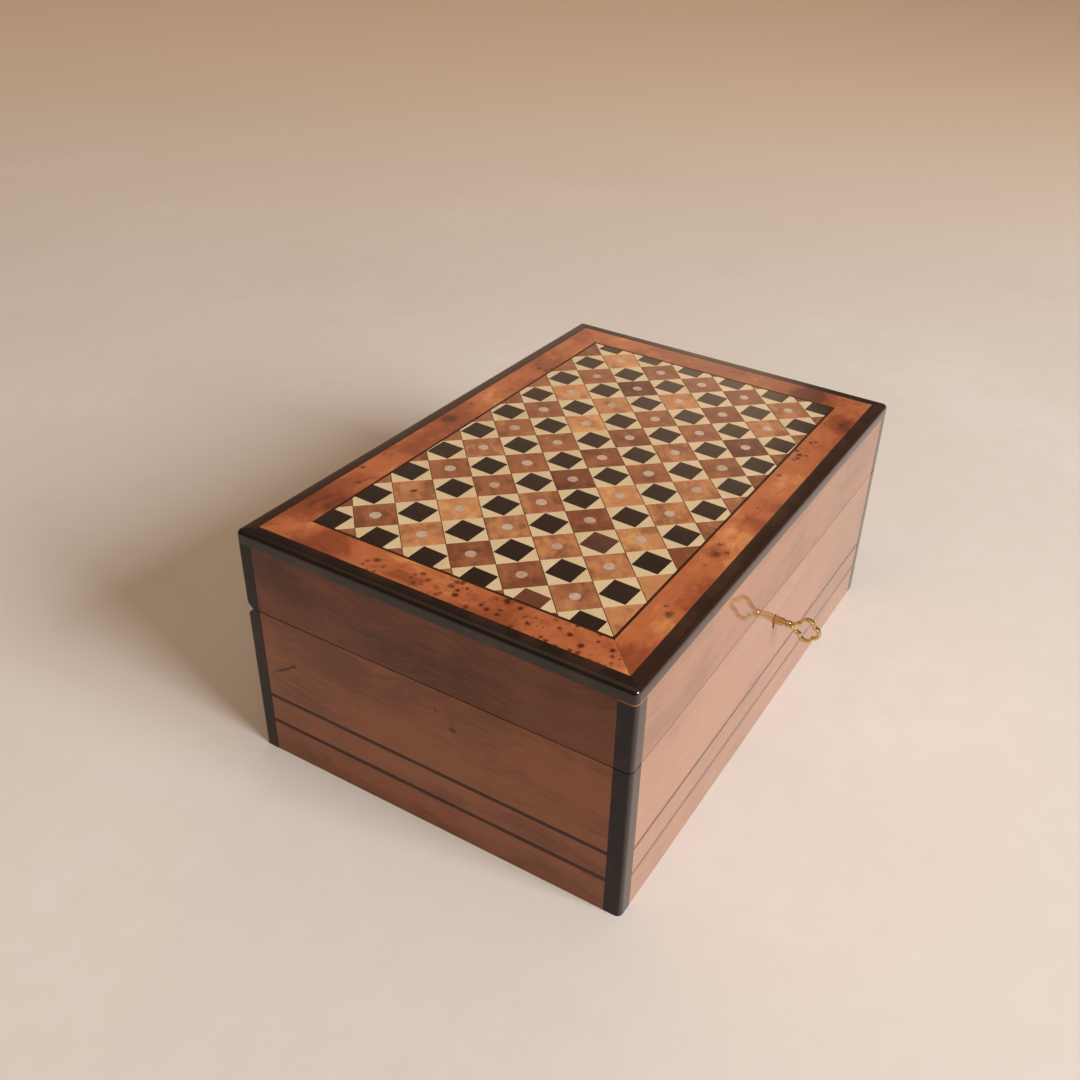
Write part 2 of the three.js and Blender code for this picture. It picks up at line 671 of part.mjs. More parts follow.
const STUMP_X = BAR_LEFT + BOLT_WEB + BOLT_THROW + STUMP_RADIUS + PRONG_CLEARANCE;
const STUMP_Z = BAR_TOP_Z - STUMP_RADIUS - PRONG_CLEARANCE - BOLT_WEB;

// The back plate, flush with the wall's inner face, with its selvedge, stump and drill pin.
function lockPlate() {
  const half = LOCK_PLATE_LENGTH / 2;
  const slotX = HOOK_THICKNESS / 2 + HOOK_CLEARANCE;
  const slotY = HOOK_WIDTH / 2 + HOOK_CLEARANCE;
  const selvedgeZ = BODY_HEIGHT - LOCK_PLATE_THICKNESS;
  const bottom = LOCK_BOTTOM_Z - CASE_SHEET;
  const plate = block(-half, half, PLATE_FRONT_Y, FRONT_INNER_Y, bottom, BODY_HEIGHT);
  const selvedge = block(-half, half, CASE_FRONT_Y, FRONT_INNER_Y, selvedgeZ, BODY_HEIGHT);
  const riveted = PLATE_FRONT_Y + LOCK_PLATE_THICKNESS / 2;
  const stump = rodY(STUMP_RADIUS, BOLT_Y - BOLT_THICKNESS, riveted).translate(STUMP_X, 0, STUMP_Z);
  const pinEnd = PLATE_FRONT_Y - KEY_TIP_GAP - KEY_BORE_DEPTH + 1;
  const pin = rodY(KEY_BORE_RADIUS - DRILL_PIN_CLEARANCE, pinEnd, riveted).translate(0, 0, KEY_Z);
  const slots = HOOK_SIDES.map((x) =>
    block(x - slotX, x + slotX, BOLT_Y - slotY, BOLT_Y + slotY, selvedgeZ - 1, BODY_HEIGHT + 1));
  const holes = [-LOCK_SCREW_X, LOCK_SCREW_X].map((x) =>
    screwHole(SCREW_LENGTH).rotateX(-Math.PI / 2).translate(x, FRONT_INNER_Y, KEY_Z));
  return cut(join(plate, selvedge, stump, pin), ...slots, ...holes);
}

// The case: a pan open to the back plate and to the selvedge, with the keyhole in its front.
function lockCase() {
  const half = CASE_HALF_LENGTH;
  const top = BODY_HEIGHT - LOCK_PLATE_THICKNESS - GLUE_LINE;
  const back = PLATE_FRONT_Y - GLUE_LINE;
  const inside = half - CASE_SHEET;
  const x = LOCK_OFFSET;
  return cut(
    block(x - half, x + half, CASE_FRONT_Y, back, LOCK_BOTTOM_Z, top),
    block(x - inside, x + inside, CASE_FRONT_Y + CASE_SHEET, back + 1, LOCK_BOTTOM_Z + CASE_SHEET, top + 1),
    keyhole(CASE_FRONT_Y - 1, CASE_FRONT_Y + CASE_SHEET + 1),
  );
}

// The bolt: a bar with a talon for the bit, a slot that runs on the stump, and two prongs.
function bolt() {
  const corner = Math.hypot(BIT_REACH, BIT_THICKNESS / 2);
  const level = BIT_REACH - BIT_BITE;
  const reachX = Math.sqrt(corner * corner - level * level);
  const halfTurn = Math.acos(level / corner) + Math.asin(BIT_THICKNESS / 2 / corner);
  const talonHalf = reachX + (BOLT_THROW * halfTurn) / (2 * Math.PI) + PRONG_CLEARANCE;
  const talonLeft = -BOLT_THROW / 2 - talonHalf;
  const talonRight = -BOLT_THROW / 2 + talonHalf;
  const talonTop = KEY_Z + corner + PRONG_CLEARANCE;
  const pitch = 2 * HOOK_OFFSET;
  const prong = (shift) => [
    [STEM_RIGHT - shift, BAR_TOP_Z],
    [STEM_RIGHT - shift, PRONG_Z],
    [PRONG_TIP - shift, PRONG_Z],
    [PRONG_TIP - shift, PRONG_Z + PRONG_HEIGHT],
    [STEM_RIGHT - STEM_WIDTH - shift, PRONG_Z + PRONG_HEIGHT],
  ];
  const outline = [
    [BAR_LEFT, BAR_BOTTOM_Z],
    [talonLeft, BAR_BOTTOM_Z],
    [talonLeft, talonTop],
    [talonRight, talonTop],
    [talonRight, BAR_BOTTOM_Z],
    [BAR_RIGHT, BAR_BOTTOM_Z],
    [BAR_RIGHT, BAR_TOP_Z],
    ...prong(0),
    [STEM_RIGHT - STEM_WIDTH, BAR_TOP_Z],
    ...prong(pitch),
  ];
  const slotHalf = STUMP_RADIUS + PRONG_CLEARANCE;
  const slot = block(
    STUMP_X - BOLT_THROW - slotHalf,
    STUMP_X + slotHalf,
    -BOLT_THICKNESS,
    BOLT_THICKNESS,
    STUMP_Z - slotHalf,
    STUMP_Z + slotHalf,
  );
  return cut(prismY(outline, -BOLT_THICKNESS / 2, BOLT_THICKNESS / 2), slot);
}

// The leaf spring: fixed up the right side of the case, its end bearing down on the bar.
function boltSpring() {
  const wallX = CASE_HALF_LENGTH - CASE_SHEET - GLUE_LINE;
  const tipX = HOOK_OFFSET + HOOK_THICKNESS / 2 + 2 * HOOK_CLEARANCE;
  const top = BODY_HEIGHT - LOCK_PLATE_THICKNESS - 2;
  const low = BAR_TOP_Z + GLUE_LINE;
  const bend = 2;
  const shape = new THREE.Shape();
  shape.moveTo(wallX, top);
  shape.lineTo(wallX - SPRING_THICKNESS, top);
  shape.lineTo(wallX - SPRING_THICKNESS, low + bend);
  shape.quadraticCurveTo(wallX - bend, low, tipX, low + SPRING_THICKNESS);
  shape.lineTo(tipX, low);
  shape.quadraticCurveTo(wallX, low - SPRING_THICKNESS / 2, wallX, low + bend);
  shape.closePath();
  return prismY(shape, -SPRING_WIDTH / 2, SPRING_WIDTH / 2, COARSE / 2);
}

place(lock, "lock_plate", lockPlate(), BRASS, LOCK_OFFSET, 0, 0);
place(lock, "lock_case", lockCase(), BRASS);
place(lock, "bolt", bolt(), BRASS, LOCK_OFFSET, BOLT_Y, 0);
place(lock, "bolt_spring", boltSpring(), SPRING_STEEL, LOCK_OFFSET, BOLT_Y, 0);
for (const [i, x] of [-LOCK_SCREW_X, LOCK_SCREW_X].entries()) {
  const mesh = place(lock, `lock_screw_${i + 1}`, SCREW, BRASS, LOCK_OFFSET + x, FRONT_INNER_Y, KEY_Z);
  mesh.rotation.x = -Math.PI / 2;
}

// ---- Key ----------------------------------------------------------------------------

// A closed outline of four lobes about the origin.
function quatrefoil(path, offset, radius, clockwise) {
  const between = offset / Math.SQRT2;
  const cusp = between + Math.sqrt(radius * radius - between * between);
  const span = Math.atan2(cusp / Math.SQRT2, cusp / Math.SQRT2 - offset);
  for (let k = 0; k < 4; k += 1) {
    const lobe = ((clockwise ? -k : k) * Math.PI) / 2;
    const from = clockwise ? lobe + span : lobe - span;
    const to = clockwise ? lobe - span : lobe + span;
    path.absarc(offset * Math.cos(lobe), offset * Math.sin(lobe), radius, from, to, clockwise);
  }
  return path;
}

// The bow, flat in the Y-Z plane, about its own centre.
function keyBow() {
  const shape = quatrefoil(new THREE.Shape(), BOW_LOBE_OFFSET, BOW_LOBE_RADIUS - BOW_BEVEL, false);
  const hole = quatrefoil(new THREE.Path(), BOW_HOLE_OFFSET, BOW_HOLE_RADIUS + BOW_BEVEL, true);
  shape.holes.push(hole);
  const depth = BOW_THICKNESS - 2 * BOW_BEVEL;
  const flat = new THREE.ExtrudeGeometry(shape, {
    depth,
    curveSegments: 7,
    bevelThickness: BOW_BEVEL,
    bevelSize: BOW_BEVEL,
    bevelSegments: 2,
  });
  return flat.translate(0, 0, -depth / 2).rotateY(Math.PI / 2);
}

// The stem, turned: from the tip of the barrel out to the bow, with a bead and two collars.
function keyStem() {
  const tip = PLATE_FRONT_Y - KEY_TIP_GAP;
  const face = -HALF_Y;
  const shaft = KEY_SHAFT_RADIUS;
  const bowEdge = BOW_STANDOFF - BOW_LOBE_OFFSET - BOW_LOBE_RADIUS;
  const profile = [
    [0, tip - KEY_BORE_DEPTH],
    [KEY_BORE_RADIUS, tip - KEY_BORE_DEPTH],
    [KEY_BORE_RADIUS, tip],
    [shaft - 0.2, tip],
    [shaft, tip - 0.3],
    [shaft, face - 5.1],
    [shaft - 0.5, face - 5.4],
    [shaft - 0.5, face - 6],
    [shaft - 0.2, face - 6.3],
    [shaft, face - 7.2],
    [shaft - 0.2, face - 8.1],
    [shaft - 0.7, face - 8.5],
    [shaft, face - 8.8],
    [shaft, face - bowEdge],
    [shaft - 0.7, face - bowEdge - 0.5],
    [shaft - 0.9, face - bowEdge - 1.2],
    [0, face - bowEdge - 1.2],
  ];
  return turned(profile.map(([radius, y]) => [radius, -y]), COARSE + 8).rotateX(Math.PI / 2);
}

// The bit, a flag under the barrel.
function keyBit() {
  const half = BIT_THICKNESS / 2;
  const middle = BOLT_Y;
  const root = (KEY_SHAFT_RADIUS + KEY_BORE_RADIUS) / 2;
  return block(-half, half, middle - BIT_WIDTH / 2, middle + BIT_WIDTH / 2, -BIT_REACH, -root);
}

const key = join(keyStem(), keyBit(), keyBow().translate(0, -HALF_Y - BOW_STANDOFF, 0));
place(box, "key", key, BRASS, LOCK_OFFSET, 0, KEY_Z);

export default box;
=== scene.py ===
"""Looks of the inlaid thuya-wood jewellery box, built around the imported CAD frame."""

import math

import bpy
from mathutils import Matrix, Vector


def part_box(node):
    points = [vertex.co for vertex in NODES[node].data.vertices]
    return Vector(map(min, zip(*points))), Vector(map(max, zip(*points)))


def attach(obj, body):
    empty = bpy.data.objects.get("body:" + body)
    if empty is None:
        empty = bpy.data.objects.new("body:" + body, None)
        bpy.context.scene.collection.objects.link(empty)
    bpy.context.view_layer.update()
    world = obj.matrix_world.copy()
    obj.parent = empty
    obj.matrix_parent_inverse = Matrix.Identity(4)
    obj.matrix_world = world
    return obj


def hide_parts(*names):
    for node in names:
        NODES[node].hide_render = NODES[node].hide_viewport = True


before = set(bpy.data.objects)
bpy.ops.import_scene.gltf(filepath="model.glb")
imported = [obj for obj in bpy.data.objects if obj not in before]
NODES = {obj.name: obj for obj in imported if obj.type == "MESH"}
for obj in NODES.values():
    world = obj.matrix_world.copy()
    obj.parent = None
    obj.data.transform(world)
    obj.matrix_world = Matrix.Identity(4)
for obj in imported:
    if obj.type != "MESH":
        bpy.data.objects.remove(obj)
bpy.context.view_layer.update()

MM = 0.001
FRONT_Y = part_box("front_wall")[0].y
LEFT_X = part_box("left_wall")[0].x


# ---------------------------------------------------------------- node helpers

def linear(colour):
    """A colour given as 0-255 display values, as linear RGBA."""
    def one(c):
        c = c / 255.0
        return c / 12.92 if c <= 0.04045 else ((c + 0.055) / 1.055) ** 2.4
    return tuple(one(c) for c in colour) + (1.0,)


class Shader:
    """A node material with short calls for what the woods and the brass share."""

    def __init__(self, name):
        self.material = bpy.data.materials.new(name)
        self.material.use_nodes = True
        self.tree = self.material.node_tree
        self.tree.nodes.clear()
        self.output = self.add("ShaderNodeOutputMaterial")
        self.surface = self.add("ShaderNodeBsdfPrincipled")
        self.link(self.surface.outputs["BSDF"], self.output.inputs["Surface"])
        self.position = self.add("ShaderNodeTexCoord").outputs["Object"]

    def add(self, kind, **settings):
        node = self.tree.nodes.new(kind)
        for key, value in settings.items():
            setattr(node, key, value)
        return node

    def link(self, source, target):
        if hasattr(source, "links"):
            self.tree.links.new(source, target)
        else:
            target.default_value = source

    def math(self, operation, a, b=0.0, c=0.0):
        node = self.add("ShaderNodeMath", operation=operation)
        for socket, value in zip(node.inputs, (a, b, c)):
            self.link(value, socket)
        return node.outputs[0]

    def vector(self, operation, a, b=(0.0, 0.0, 0.0), scale=None):
        node = self.add("ShaderNodeVectorMath", operation=operation)
        self.link(a, node.inputs[0])
        self.link(b, node.inputs[1])
        if scale is not None:
            self.link(scale, node.inputs["Scale"])
        out = "Value" if operation in ("LENGTH", "DISTANCE", "DOT_PRODUCT") else "Vector"
        return node.outputs[out]

    def attribute(self, name, output="Fac"):
        return self.add("ShaderNodeAttribute", attribute_name=name).outputs[output]

    def axis(self, letter):
        """One coordinate of the position."""
        split = self.add("ShaderNodeSeparateXYZ")
        self.link(self.position, split.inputs[0])
        return split.outputs[letter]

    def weigh(self, *parts):
        """The sum of (value, weight) pairs."""
        total = 0.0
        for value, weight in reversed(parts):
            total = self.math("MULTIPLY_ADD", value, weight, total)
        return total

    def bent(self, source, swirl, reach):
        """The position pushed about by a colour noise, up to half of reach each way."""
        push = self.vector("SUBTRACT", swirl, (0.5, 0.5, 0.5))
        return self.vector("ADD", source, self.vector("SCALE", push, scale=reach))

    def apart(self, seed, way):
        """The position moved along way by a tile's seed, so that no two tiles match."""
        return self.vector("ADD", self.position, self.vector("SCALE", way, scale=seed))

    def spot(self, x, y, reach, ragged):
        """Distance from an upright line at x, y, in reaches, with a ragged value added."""
        offset = self.vector("SUBTRACT", self.position, (x, y, 0.0))
        flat = self.vector("MULTIPLY", offset, (1.0, 1.0, 0.0))
        return self.math("MULTIPLY_ADD", self.vector("LENGTH", flat), 1.0 / reach, ragged)

    def stretched(self, source, scale, turn=0.0):
        """The position turned about Z and then scaled, for grain that runs one way."""
        turned = self.add("ShaderNodeMapping", vector_type="POINT")
        self.link(source, turned.inputs["Vector"])
        turned.inputs["Rotation"].default_value = (0.0, 0.0, turn)
        grown = self.add("ShaderNodeMapping", vector_type="POINT")
        self.link(turned.outputs[0], grown.inputs["Vector"])
        grown.inputs["Scale"].default_value = scale
        return grown.outputs[0]

    def noise(self, source, scale, detail=3.0, rough=0.55, distortion=0.0, colour=False):
        node = self.add("ShaderNodeTexNoise")
        self.link(source, node.inputs["Vector"])
        node.inputs["Scale"].default_value = scale
        node.inputs["Detail"].default_value = detail
        node.inputs["Roughness"].default_value = rough
        node.inputs["Distortion"].default_value = distortion
        return node.outputs["Color" if colour else "Fac"]

    def cells(self, source, scale, output="Distance"):
        node = self.add("ShaderNodeTexVoronoi")
        self.link(source, node.inputs["Vector"])
        node.inputs["Scale"].default_value = scale
        return node.outputs[output]

    def step(self, value, low, high, to_low=0.0, to_high=1.0):
        node = self.add("ShaderNodeMapRange", interpolation_type="SMOOTHSTEP")
        for key, item in (("Value", value), ("From Min", low), ("From Max", high),
                          ("To Min", to_low), ("To Max", to_high)):
            self.link(item, node.inputs[key])
        return node.outputs["Result"]

    def ramp(self, value, stops):
        """Colours over a value; stops are (place, display colour)."""
        node = self.add("ShaderNodeValToRGB")
        self.link(value, node.inputs["Fac"])
        ramp = node.color_ramp
        ramp.interpolation = "EASE"
        while len(ramp.elements) < len(stops):
            ramp.elements.new(0.5)
        for element, (place, colour) in zip(ramp.elements, stops):
            element.position = place
            element.color = linear(colour)
        return node.outputs["Color"]

    def mix(self, amount, a, b):
        node = self.add("ShaderNodeMix", data_type="RGBA")
        for socket, value in ((node.inputs[0], amount), (node.inputs[6], a), (node.inputs[7], b)):
            self.link(value, socket)
        return node.outputs[2]

    def tint(self, colour, amount, shade):
        """The colour with an amount of a display colour mixed in."""
        return self.mix(amount, colour, linear(shade))

    def bump(self, height, strength, distance):
        node = self.add("ShaderNodeBump")
        self.link(height, node.inputs["Height"])
        node.inputs["Strength"].default_value = strength
        node.inputs["Distance"].default_value = distance
        return node.outputs["Normal"]

    def lacquer(self, coat=1.0, coat_rough=0.045, rough=0.42, coat_ior=1.47):
        """The clear gloss over a wood, with the long soft waves of a hand-rubbed finish."""
        s = self.surface.inputs
        self.link(coat, s["Coat Weight"])
        s["Coat Roughness"].default_value = coat_rough
        s["Coat IOR"].default_value = coat_ior
        s["Specular IOR Level"].default_value = 0.02
        s["IOR"].default_value = 1.45
        wave = self.noise(self.position, 38.0, detail=1.5)
        coat_normal = self.bump(wave, 0.10, 0.0012)
        self.link(coat_normal, s["Coat Normal"])
        self.link(rough, s["Roughness"])

    def finish(self, colour, normal=None):
        self.link(colour, self.surface.inputs["Base Color"])
        if normal is not None:
            self.link(normal, self.surface.inputs["Normal"])
        return self.material


# ------------------------------------------------------------------- the woods

def turned_about_x(s, source, turn):
    node = s.add("ShaderNodeMapping", vector_type="POINT")
    s.link(source, node.inputs["Vector"])
    node.inputs["Rotation"].default_value = (turn, 0.0, 0.0)
    return node.outputs[0]


def grain_scale(along, long, across):
    """A noise scale that is long along one axis and fine across the other two."""
    return [long if axis == along else across for axis in "xyz"]


def times(scale, factor):
    return [value * factor for value in scale]


def pores(s, position, scale):
    """The bump of a wood's open pores."""
    return s.bump(s.noise(position, scale, detail=4.0, rough=0.7), 0.12, 0.0003)


def marks(s, colour, places):
    """Dark marks in the wood: each is (centre, half sizes, turn about X, depth)."""
    for centre, size, turn, depth in places:
        turned = turned_about_x(s, s.vector("SUBTRACT", s.position, centre), turn)
        ragged = s.math("MULTIPLY_ADD", s.noise(s.position, 420.0, detail=3.0), 0.9, -0.45)
        reach = s.math("ADD", s.vector("LENGTH", s.vector("DIVIDE", turned, size)), ragged)
        colour = s.tint(colour, s.math("MULTIPLY", s.step(reach, 1.15, 0.3), depth), (58, 28, 22))
    return colour


THUYA_COLOURS = ((0.24, (90, 49, 30)), (0.40, (122, 72, 47)), (0.52, (148, 92, 61)), (0.70, (178, 119, 80)))
THUYA_SPECK = (84, 44, 32)
# Painted reflection: the pale colour laid on the front's wood for the gloss it shows.
THUYA_PAINTED_REFLECTION = (238, 204, 180)


def thuya(name, along, dark=0.0, places=(), offset=(0.0, 0.0, 0.0), pale=0.0, coat=1.0, coat_ior=1.47):
    """Plain thuya: red-brown with fine straight grain. along is the axis the grain runs on;
    pale is the amount of a painted reflection, a pale tint that stands for the gloss on the box's front."""
    s = Shader(name)
    scale = grain_scale(along, 9.0, 120.0)
    moved = s.vector("ADD", s.position, offset)
    bent = s.bent(moved, s.noise(moved, 11.0, detail=2.0, colour=True), 0.03)
    fine = s.noise(s.stretched(bent, times(scale, 5.0)), 1.0, detail=5.0, rough=0.65)
    bands = s.noise(s.stretched(bent, times(scale, 0.5)), 1.0, detail=3.0)
    cloud = s.noise(s.stretched(moved, grain_scale(along, 10.0, 22.0)), 1.0, detail=2.0)
    glow = s.noise(s.vector("MULTIPLY", bent, grain_scale(along, 30.0, 13.0)), 1.0, detail=2.0)
    tone = s.weigh((fine, 0.20), (bands, 0.28), (cloud, 0.12), (glow, 0.20))
    colour = s.ramp(s.math("ADD", tone, 0.10 - dark), THUYA_COLOURS)
    specks = s.cells(s.stretched(moved, times(scale, 0.9)), 1.0)
    speck = s.math("MULTIPLY", s.step(specks, 0.10, 0.03), s.step(cloud, 0.52, 0.62))
    colour = s.tint(colour, s.math("MULTIPLY", speck, 0.3), THUYA_SPECK)
    colour = marks(s, colour, places)
    # Painted reflection: the front's gloss laid on the wood as a pale tint.
    if pale:
        colour = s.tint(colour, pale, THUYA_PAINTED_REFLECTION)
    s.lacquer(coat=coat, rough=s.step(fine, 0.3, 0.7, 0.5, 0.38), coat_ior=coat_ior)
    return s.finish(colour, pores(s, s.stretched(bent, times(scale, 6.0)), 1.0))


def knot_field(s, knots):
    """Dark ringed knots: each is (x, y, reach) in metres, ragged at the edge."""
    total = None
    ragged = s.math("MULTIPLY_ADD", s.noise(s.position, 460.0, detail=3.0, rough=0.6), 1.1, -0.55)
    for x, y, reach in knots:
        one = s.step(s.spot(x, y, reach, ragged), 1.0, 0.15)
        total = one if total is None else s.math("MAXIMUM", total, one)
    return total


BURL_COLOURS = ((0.22, (100, 42, 26)), (0.42, (152, 77, 45)), (0.58, (190, 109, 66)), (0.78, (230, 156, 100)))
BURL_RING, BURL_EYE, BURL_KNOT = (128, 58, 32), (62, 27, 18), (74, 34, 24)
FEWER_BLEND = 12.0 * MM


def burl_tone(s, moved, bent, long, dark, shades):
    """How light the burl is, before its eyes."""
    cloud = s.noise(bent, 34.0, detail=4.0, rough=0.62)
    curls = s.noise(s.stretched(bent, long), 1.0, detail=4.0, rough=0.6, distortion=0.2)
    large = s.noise(moved, 17.0, detail=1.0)
    tone = s.weigh((cloud, 0.54), (curls, 0.30), (large, 0.42))
    tone = s.math("SUBTRACT", tone, 0.07 + dark)
    for x, y, reach, depth in shades:
        far = s.spot(x, y, reach, s.math("MULTIPLY_ADD", cloud, 1.2, -0.6))
        tone = s.math("MULTIPLY_ADD", s.step(far, 1.1, 0.2), -depth, tone)
    return tone


def burl(name, along, eyes, knots=(), dark=0.0, offset=(0.0, 0.0, 0.0), shades=(), fewer=None):
    """Thuya burl: orange-brown clouds and curls, with clusters of small dark eyes.
    eyes is (threshold, softness) of the clusters; a lower threshold gives more of them.
    shades are (x, y, reach, depth) dark clouds; fewer is the y past which the eyes thin out."""
    s = Shader(name)
    moved = s.vector("ADD", s.position, offset)
    bent = s.bent(moved, s.noise(moved, 26.0, detail=3.0, rough=0.6, colour=True), 0.022)
    long = grain_scale(along, 90.0, 260.0)
    colour = s.ramp(burl_tone(s, moved, bent, long, dark, shades), BURL_COLOURS)
    spotted = s.bent(moved, s.noise(moved, 900.0, detail=2.0, colour=True), 0.0016)
    near = s.cells(spotted, 260.0)
    size = s.cells(spotted, 260.0, output="Color")
    reach = s.math("MULTIPLY_ADD", s.vector("DOT_PRODUCT", size, (1.0, 0.0, 0.0)), 0.26, 0.11)
    past = s.math("SUBTRACT", near, reach)
    where = s.step(s.noise(moved, 46.0, detail=2.0), eyes[0], eyes[0] + eyes[1])
    if fewer is not None:
        kept = s.step(s.axis("Y"), fewer + FEWER_BLEND, fewer - FEWER_BLEND)
        where = s.math("MULTIPLY", where, kept)
    small = s.step(s.cells(spotted, 560.0), 0.26, 0.12)
    small = s.math("MULTIPLY", small, s.step(s.noise(moved, 120.0, detail=1.0), 0.5, 0.62))
    eye = s.math("MAXIMUM", s.step(past, 0.07, -0.08), small)
    ring = s.step(past, 0.26, 0.0)
    colour = s.tint(colour, s.math("MULTIPLY", s.math("MULTIPLY", ring, where), 0.5), BURL_RING)
    colour = s.tint(colour, s.math("MULTIPLY", s.math("MULTIPLY", eye, where), 0.9), BURL_EYE)
    if knots:
        rings = s.step(s.noise(s.position, 700.0, detail=2.0), 0.25, 0.6, 0.55, 1.0)
        shade = s.math("MULTIPLY", knot_field(s, knots), rings)
        colour = s.tint(colour, s.math("MULTIPLY", shade, 0.85), BURL_KNOT)
    s.lacquer(rough=0.4)
    return s.finish(colour, pores(s, s.stretched(bent, times(long, 5.0)), 1.0))


EBONY_COLOURS = ((0.3, (16, 9, 8)), (0.5, (27, 16, 13)), (0.72, (44, 27, 22)))
# The middle colour is a painted reflection: the pale tint laid on the front's strings.
EBONY_BROWN, EBONY_PAINTED_REFLECTION, EBONY_RUBBED = (84, 42, 30), (176, 130, 104), (84, 52, 36)
SLIVER_COLOUR = (158, 88, 50)
GLOSS_FADE = (1.6 * MM, 0.2 * MM)
SLIVER = (0.62 * MM, 0.5 * MM)


def ebony(name, along="z", capped=False, brown=0.0, coat=0.8, reflection_tint=0.0, front_gloss=False):
    """Black-stained wood, brown where the light comes through the lacquer on its rubbed edges.
    front_gloss gives it more polish on the box's front; the paling amount is a painted reflection, a pale
    tint for the sheen of the front's strings;
    capped adds the thin orange line under the edging."""
    s = Shader(name)
    scale = grain_scale(along, 40.0, 900.0)
    fine = s.noise(s.stretched(s.position, scale), 1.0, detail=4.0, rough=0.7)
    cloud = s.noise(s.position, 60.0, detail=2.0)
    colour = s.ramp(s.weigh((fine, 0.5), (cloud, 0.5)), EBONY_COLOURS)
    if brown:
        colour = s.tint(colour, brown, EBONY_BROWN)
    # Painted reflection: a pale tint over the stain, for the sheen of the front's strings.
    if reflection_tint:
        colour = s.tint(colour, reflection_tint, EBONY_PAINTED_REFLECTION)
    if front_gloss:
        coat = s.step(s.axis("Y"), FRONT_Y + GLOSS_FADE[0], FRONT_Y + GLOSS_FADE[1], coat, 1.0)
    edge = s.add("ShaderNodeNewGeometry").outputs["Pointiness"]
    rubbed = s.math("MULTIPLY", s.step(edge, 0.53, 0.6), s.step(cloud, 0.42, 0.7))
    colour = s.tint(colour, s.math("MULTIPLY", rubbed, 0.35), EBONY_RUBBED)
    if capped:
        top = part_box("lid_post_front_left")[1].z
        sliver = s.step(s.axis("Z"), top - SLIVER[0], top - SLIVER[1])
        colour = s.tint(colour, s.math("MULTIPLY", sliver, 0.9), SLIVER_COLOUR)
    s.lacquer(coat=coat, coat_rough=0.09, rough=0.45, coat_ior=1.75)
    return s.finish(colour, pores(s, s.stretched(s.position, times(scale, 2.0)), 1.0))


OILED_COLOURS = ((0.25, (112, 66, 46)), (0.5, (152, 98, 70)), (0.75, (184, 128, 94)))


def carcass(name):
    """The unseen boards: the same thuya, oiled and not polished."""
    s = Shader(name)
    scale = (7.0, 110.0, 110.0)
    bent = s.vector("ADD", s.position, s.vector("SCALE", s.noise(s.position, 9.0, colour=True), scale=0.01))
    bands = s.noise(s.stretched(bent, scale), 1.0, detail=4.0)
    fine = s.noise(s.stretched(bent, times(scale, 6.0)), 1.0, detail=3.0)
    colour = s.ramp(s.weigh((bands, 0.7), (fine, 0.3)), OILED_COLOURS)
    s.lacquer(coat=0.25, coat_rough=0.28, rough=0.5)
    return s.finish(colour, pores(s, s.stretched(bent, times(scale, 8.0)), 1.0))


# -------------------------------------------------------------------- the metal

def metal(name, light, mid, dark, rough=0.2, worn=0.5, brushed=None):
    """A metal with rubbed highs, tarnish in the hollows and fine scratches."""
    s = Shader(name)
    s.surface.inputs["Metallic"].default_value = 1.0
    cloud = s.noise(s.position, 240.0, detail=3.0, rough=0.5)
    fine = s.noise(s.position, 2600.0, detail=3.0, rough=0.7)
    edge = s.add("ShaderNodeNewGeometry").outputs["Pointiness"]
    colour = s.ramp(cloud, ((0.3, dark), (0.5, mid), (0.7, light)))
    colour = s.tint(colour, s.math("MULTIPLY", s.step(edge, 0.47, 0.38), worn), times(dark, 0.45))
    colour = s.tint(colour, s.math("MULTIPLY", s.step(edge, 0.53, 0.6), 0.5), light)
    scratch_scale = brushed or (900.0, 900.0, 5200.0)
    scratch = s.noise(s.stretched(s.position, scratch_scale), 1.0, detail=3.0, rough=0.7)
    dulled = s.step(s.weigh((cloud, 0.6), (fine, 0.4)), 0.35, 0.65, rough * 0.7, rough * 1.7)
    s.link(dulled, s.surface.inputs["Roughness"])
    return s.finish(colour, s.bump(scratch, 0.16, 0.00008))


# ---------------------------------------------------------------- marquetry tiles

TILE_GRAIN = 55.0
TILE_GRAIN_TURN = -math.radians(45.0)
TILE_THUYA = ((0.05, (92, 48, 30)), (0.25, (132, 76, 50)), (0.45, (166, 104, 70)), (0.65, (204, 142, 94)),
              (0.85, (230, 174, 114)))
TILE_LEMONWOOD = ((0.15, (206, 182, 138)), (0.45, (229, 208, 167)), (0.75, (242, 225, 190)))
TILE_EBONY = ((0.2, (26, 18, 15)), (0.45, (42, 30, 25)), (0.62, (60, 42, 35)), (0.95, (114, 66, 48)))


def tile_wood(name, stops, finer=1.0, strength=1.0):
    """A small tile's wood. Each tile carries a tone and a seed, so that neighbours differ.
    finer is how much finer the grain is across the tile, and strength how clear it is."""
    s = Shader(name)
    moved = s.apart(s.attribute("seed"), (1.7, 2.9, 1.0))
    bent = s.bent(moved, s.noise(moved, 70.0, detail=2.0, colour=True), 0.006)
    across = TILE_GRAIN * finer * 5.0
    lines = s.noise(s.stretched(bent, (TILE_GRAIN, across, across), turn=TILE_GRAIN_TURN), 1.0,
                    detail=4.0, rough=0.6)
    cloud = s.noise(bent, 95.0, detail=4.0, rough=0.6)
    value = s.weigh((lines, 0.35 * strength), (cloud, 0.55 * strength))
    value = s.math("SUBTRACT", s.math("ADD", value, s.attribute("tone")), 0.45 * strength)
    s.lacquer(coat_rough=0.06, rough=0.42)
    return s, s.ramp(value, stops), moved, bent


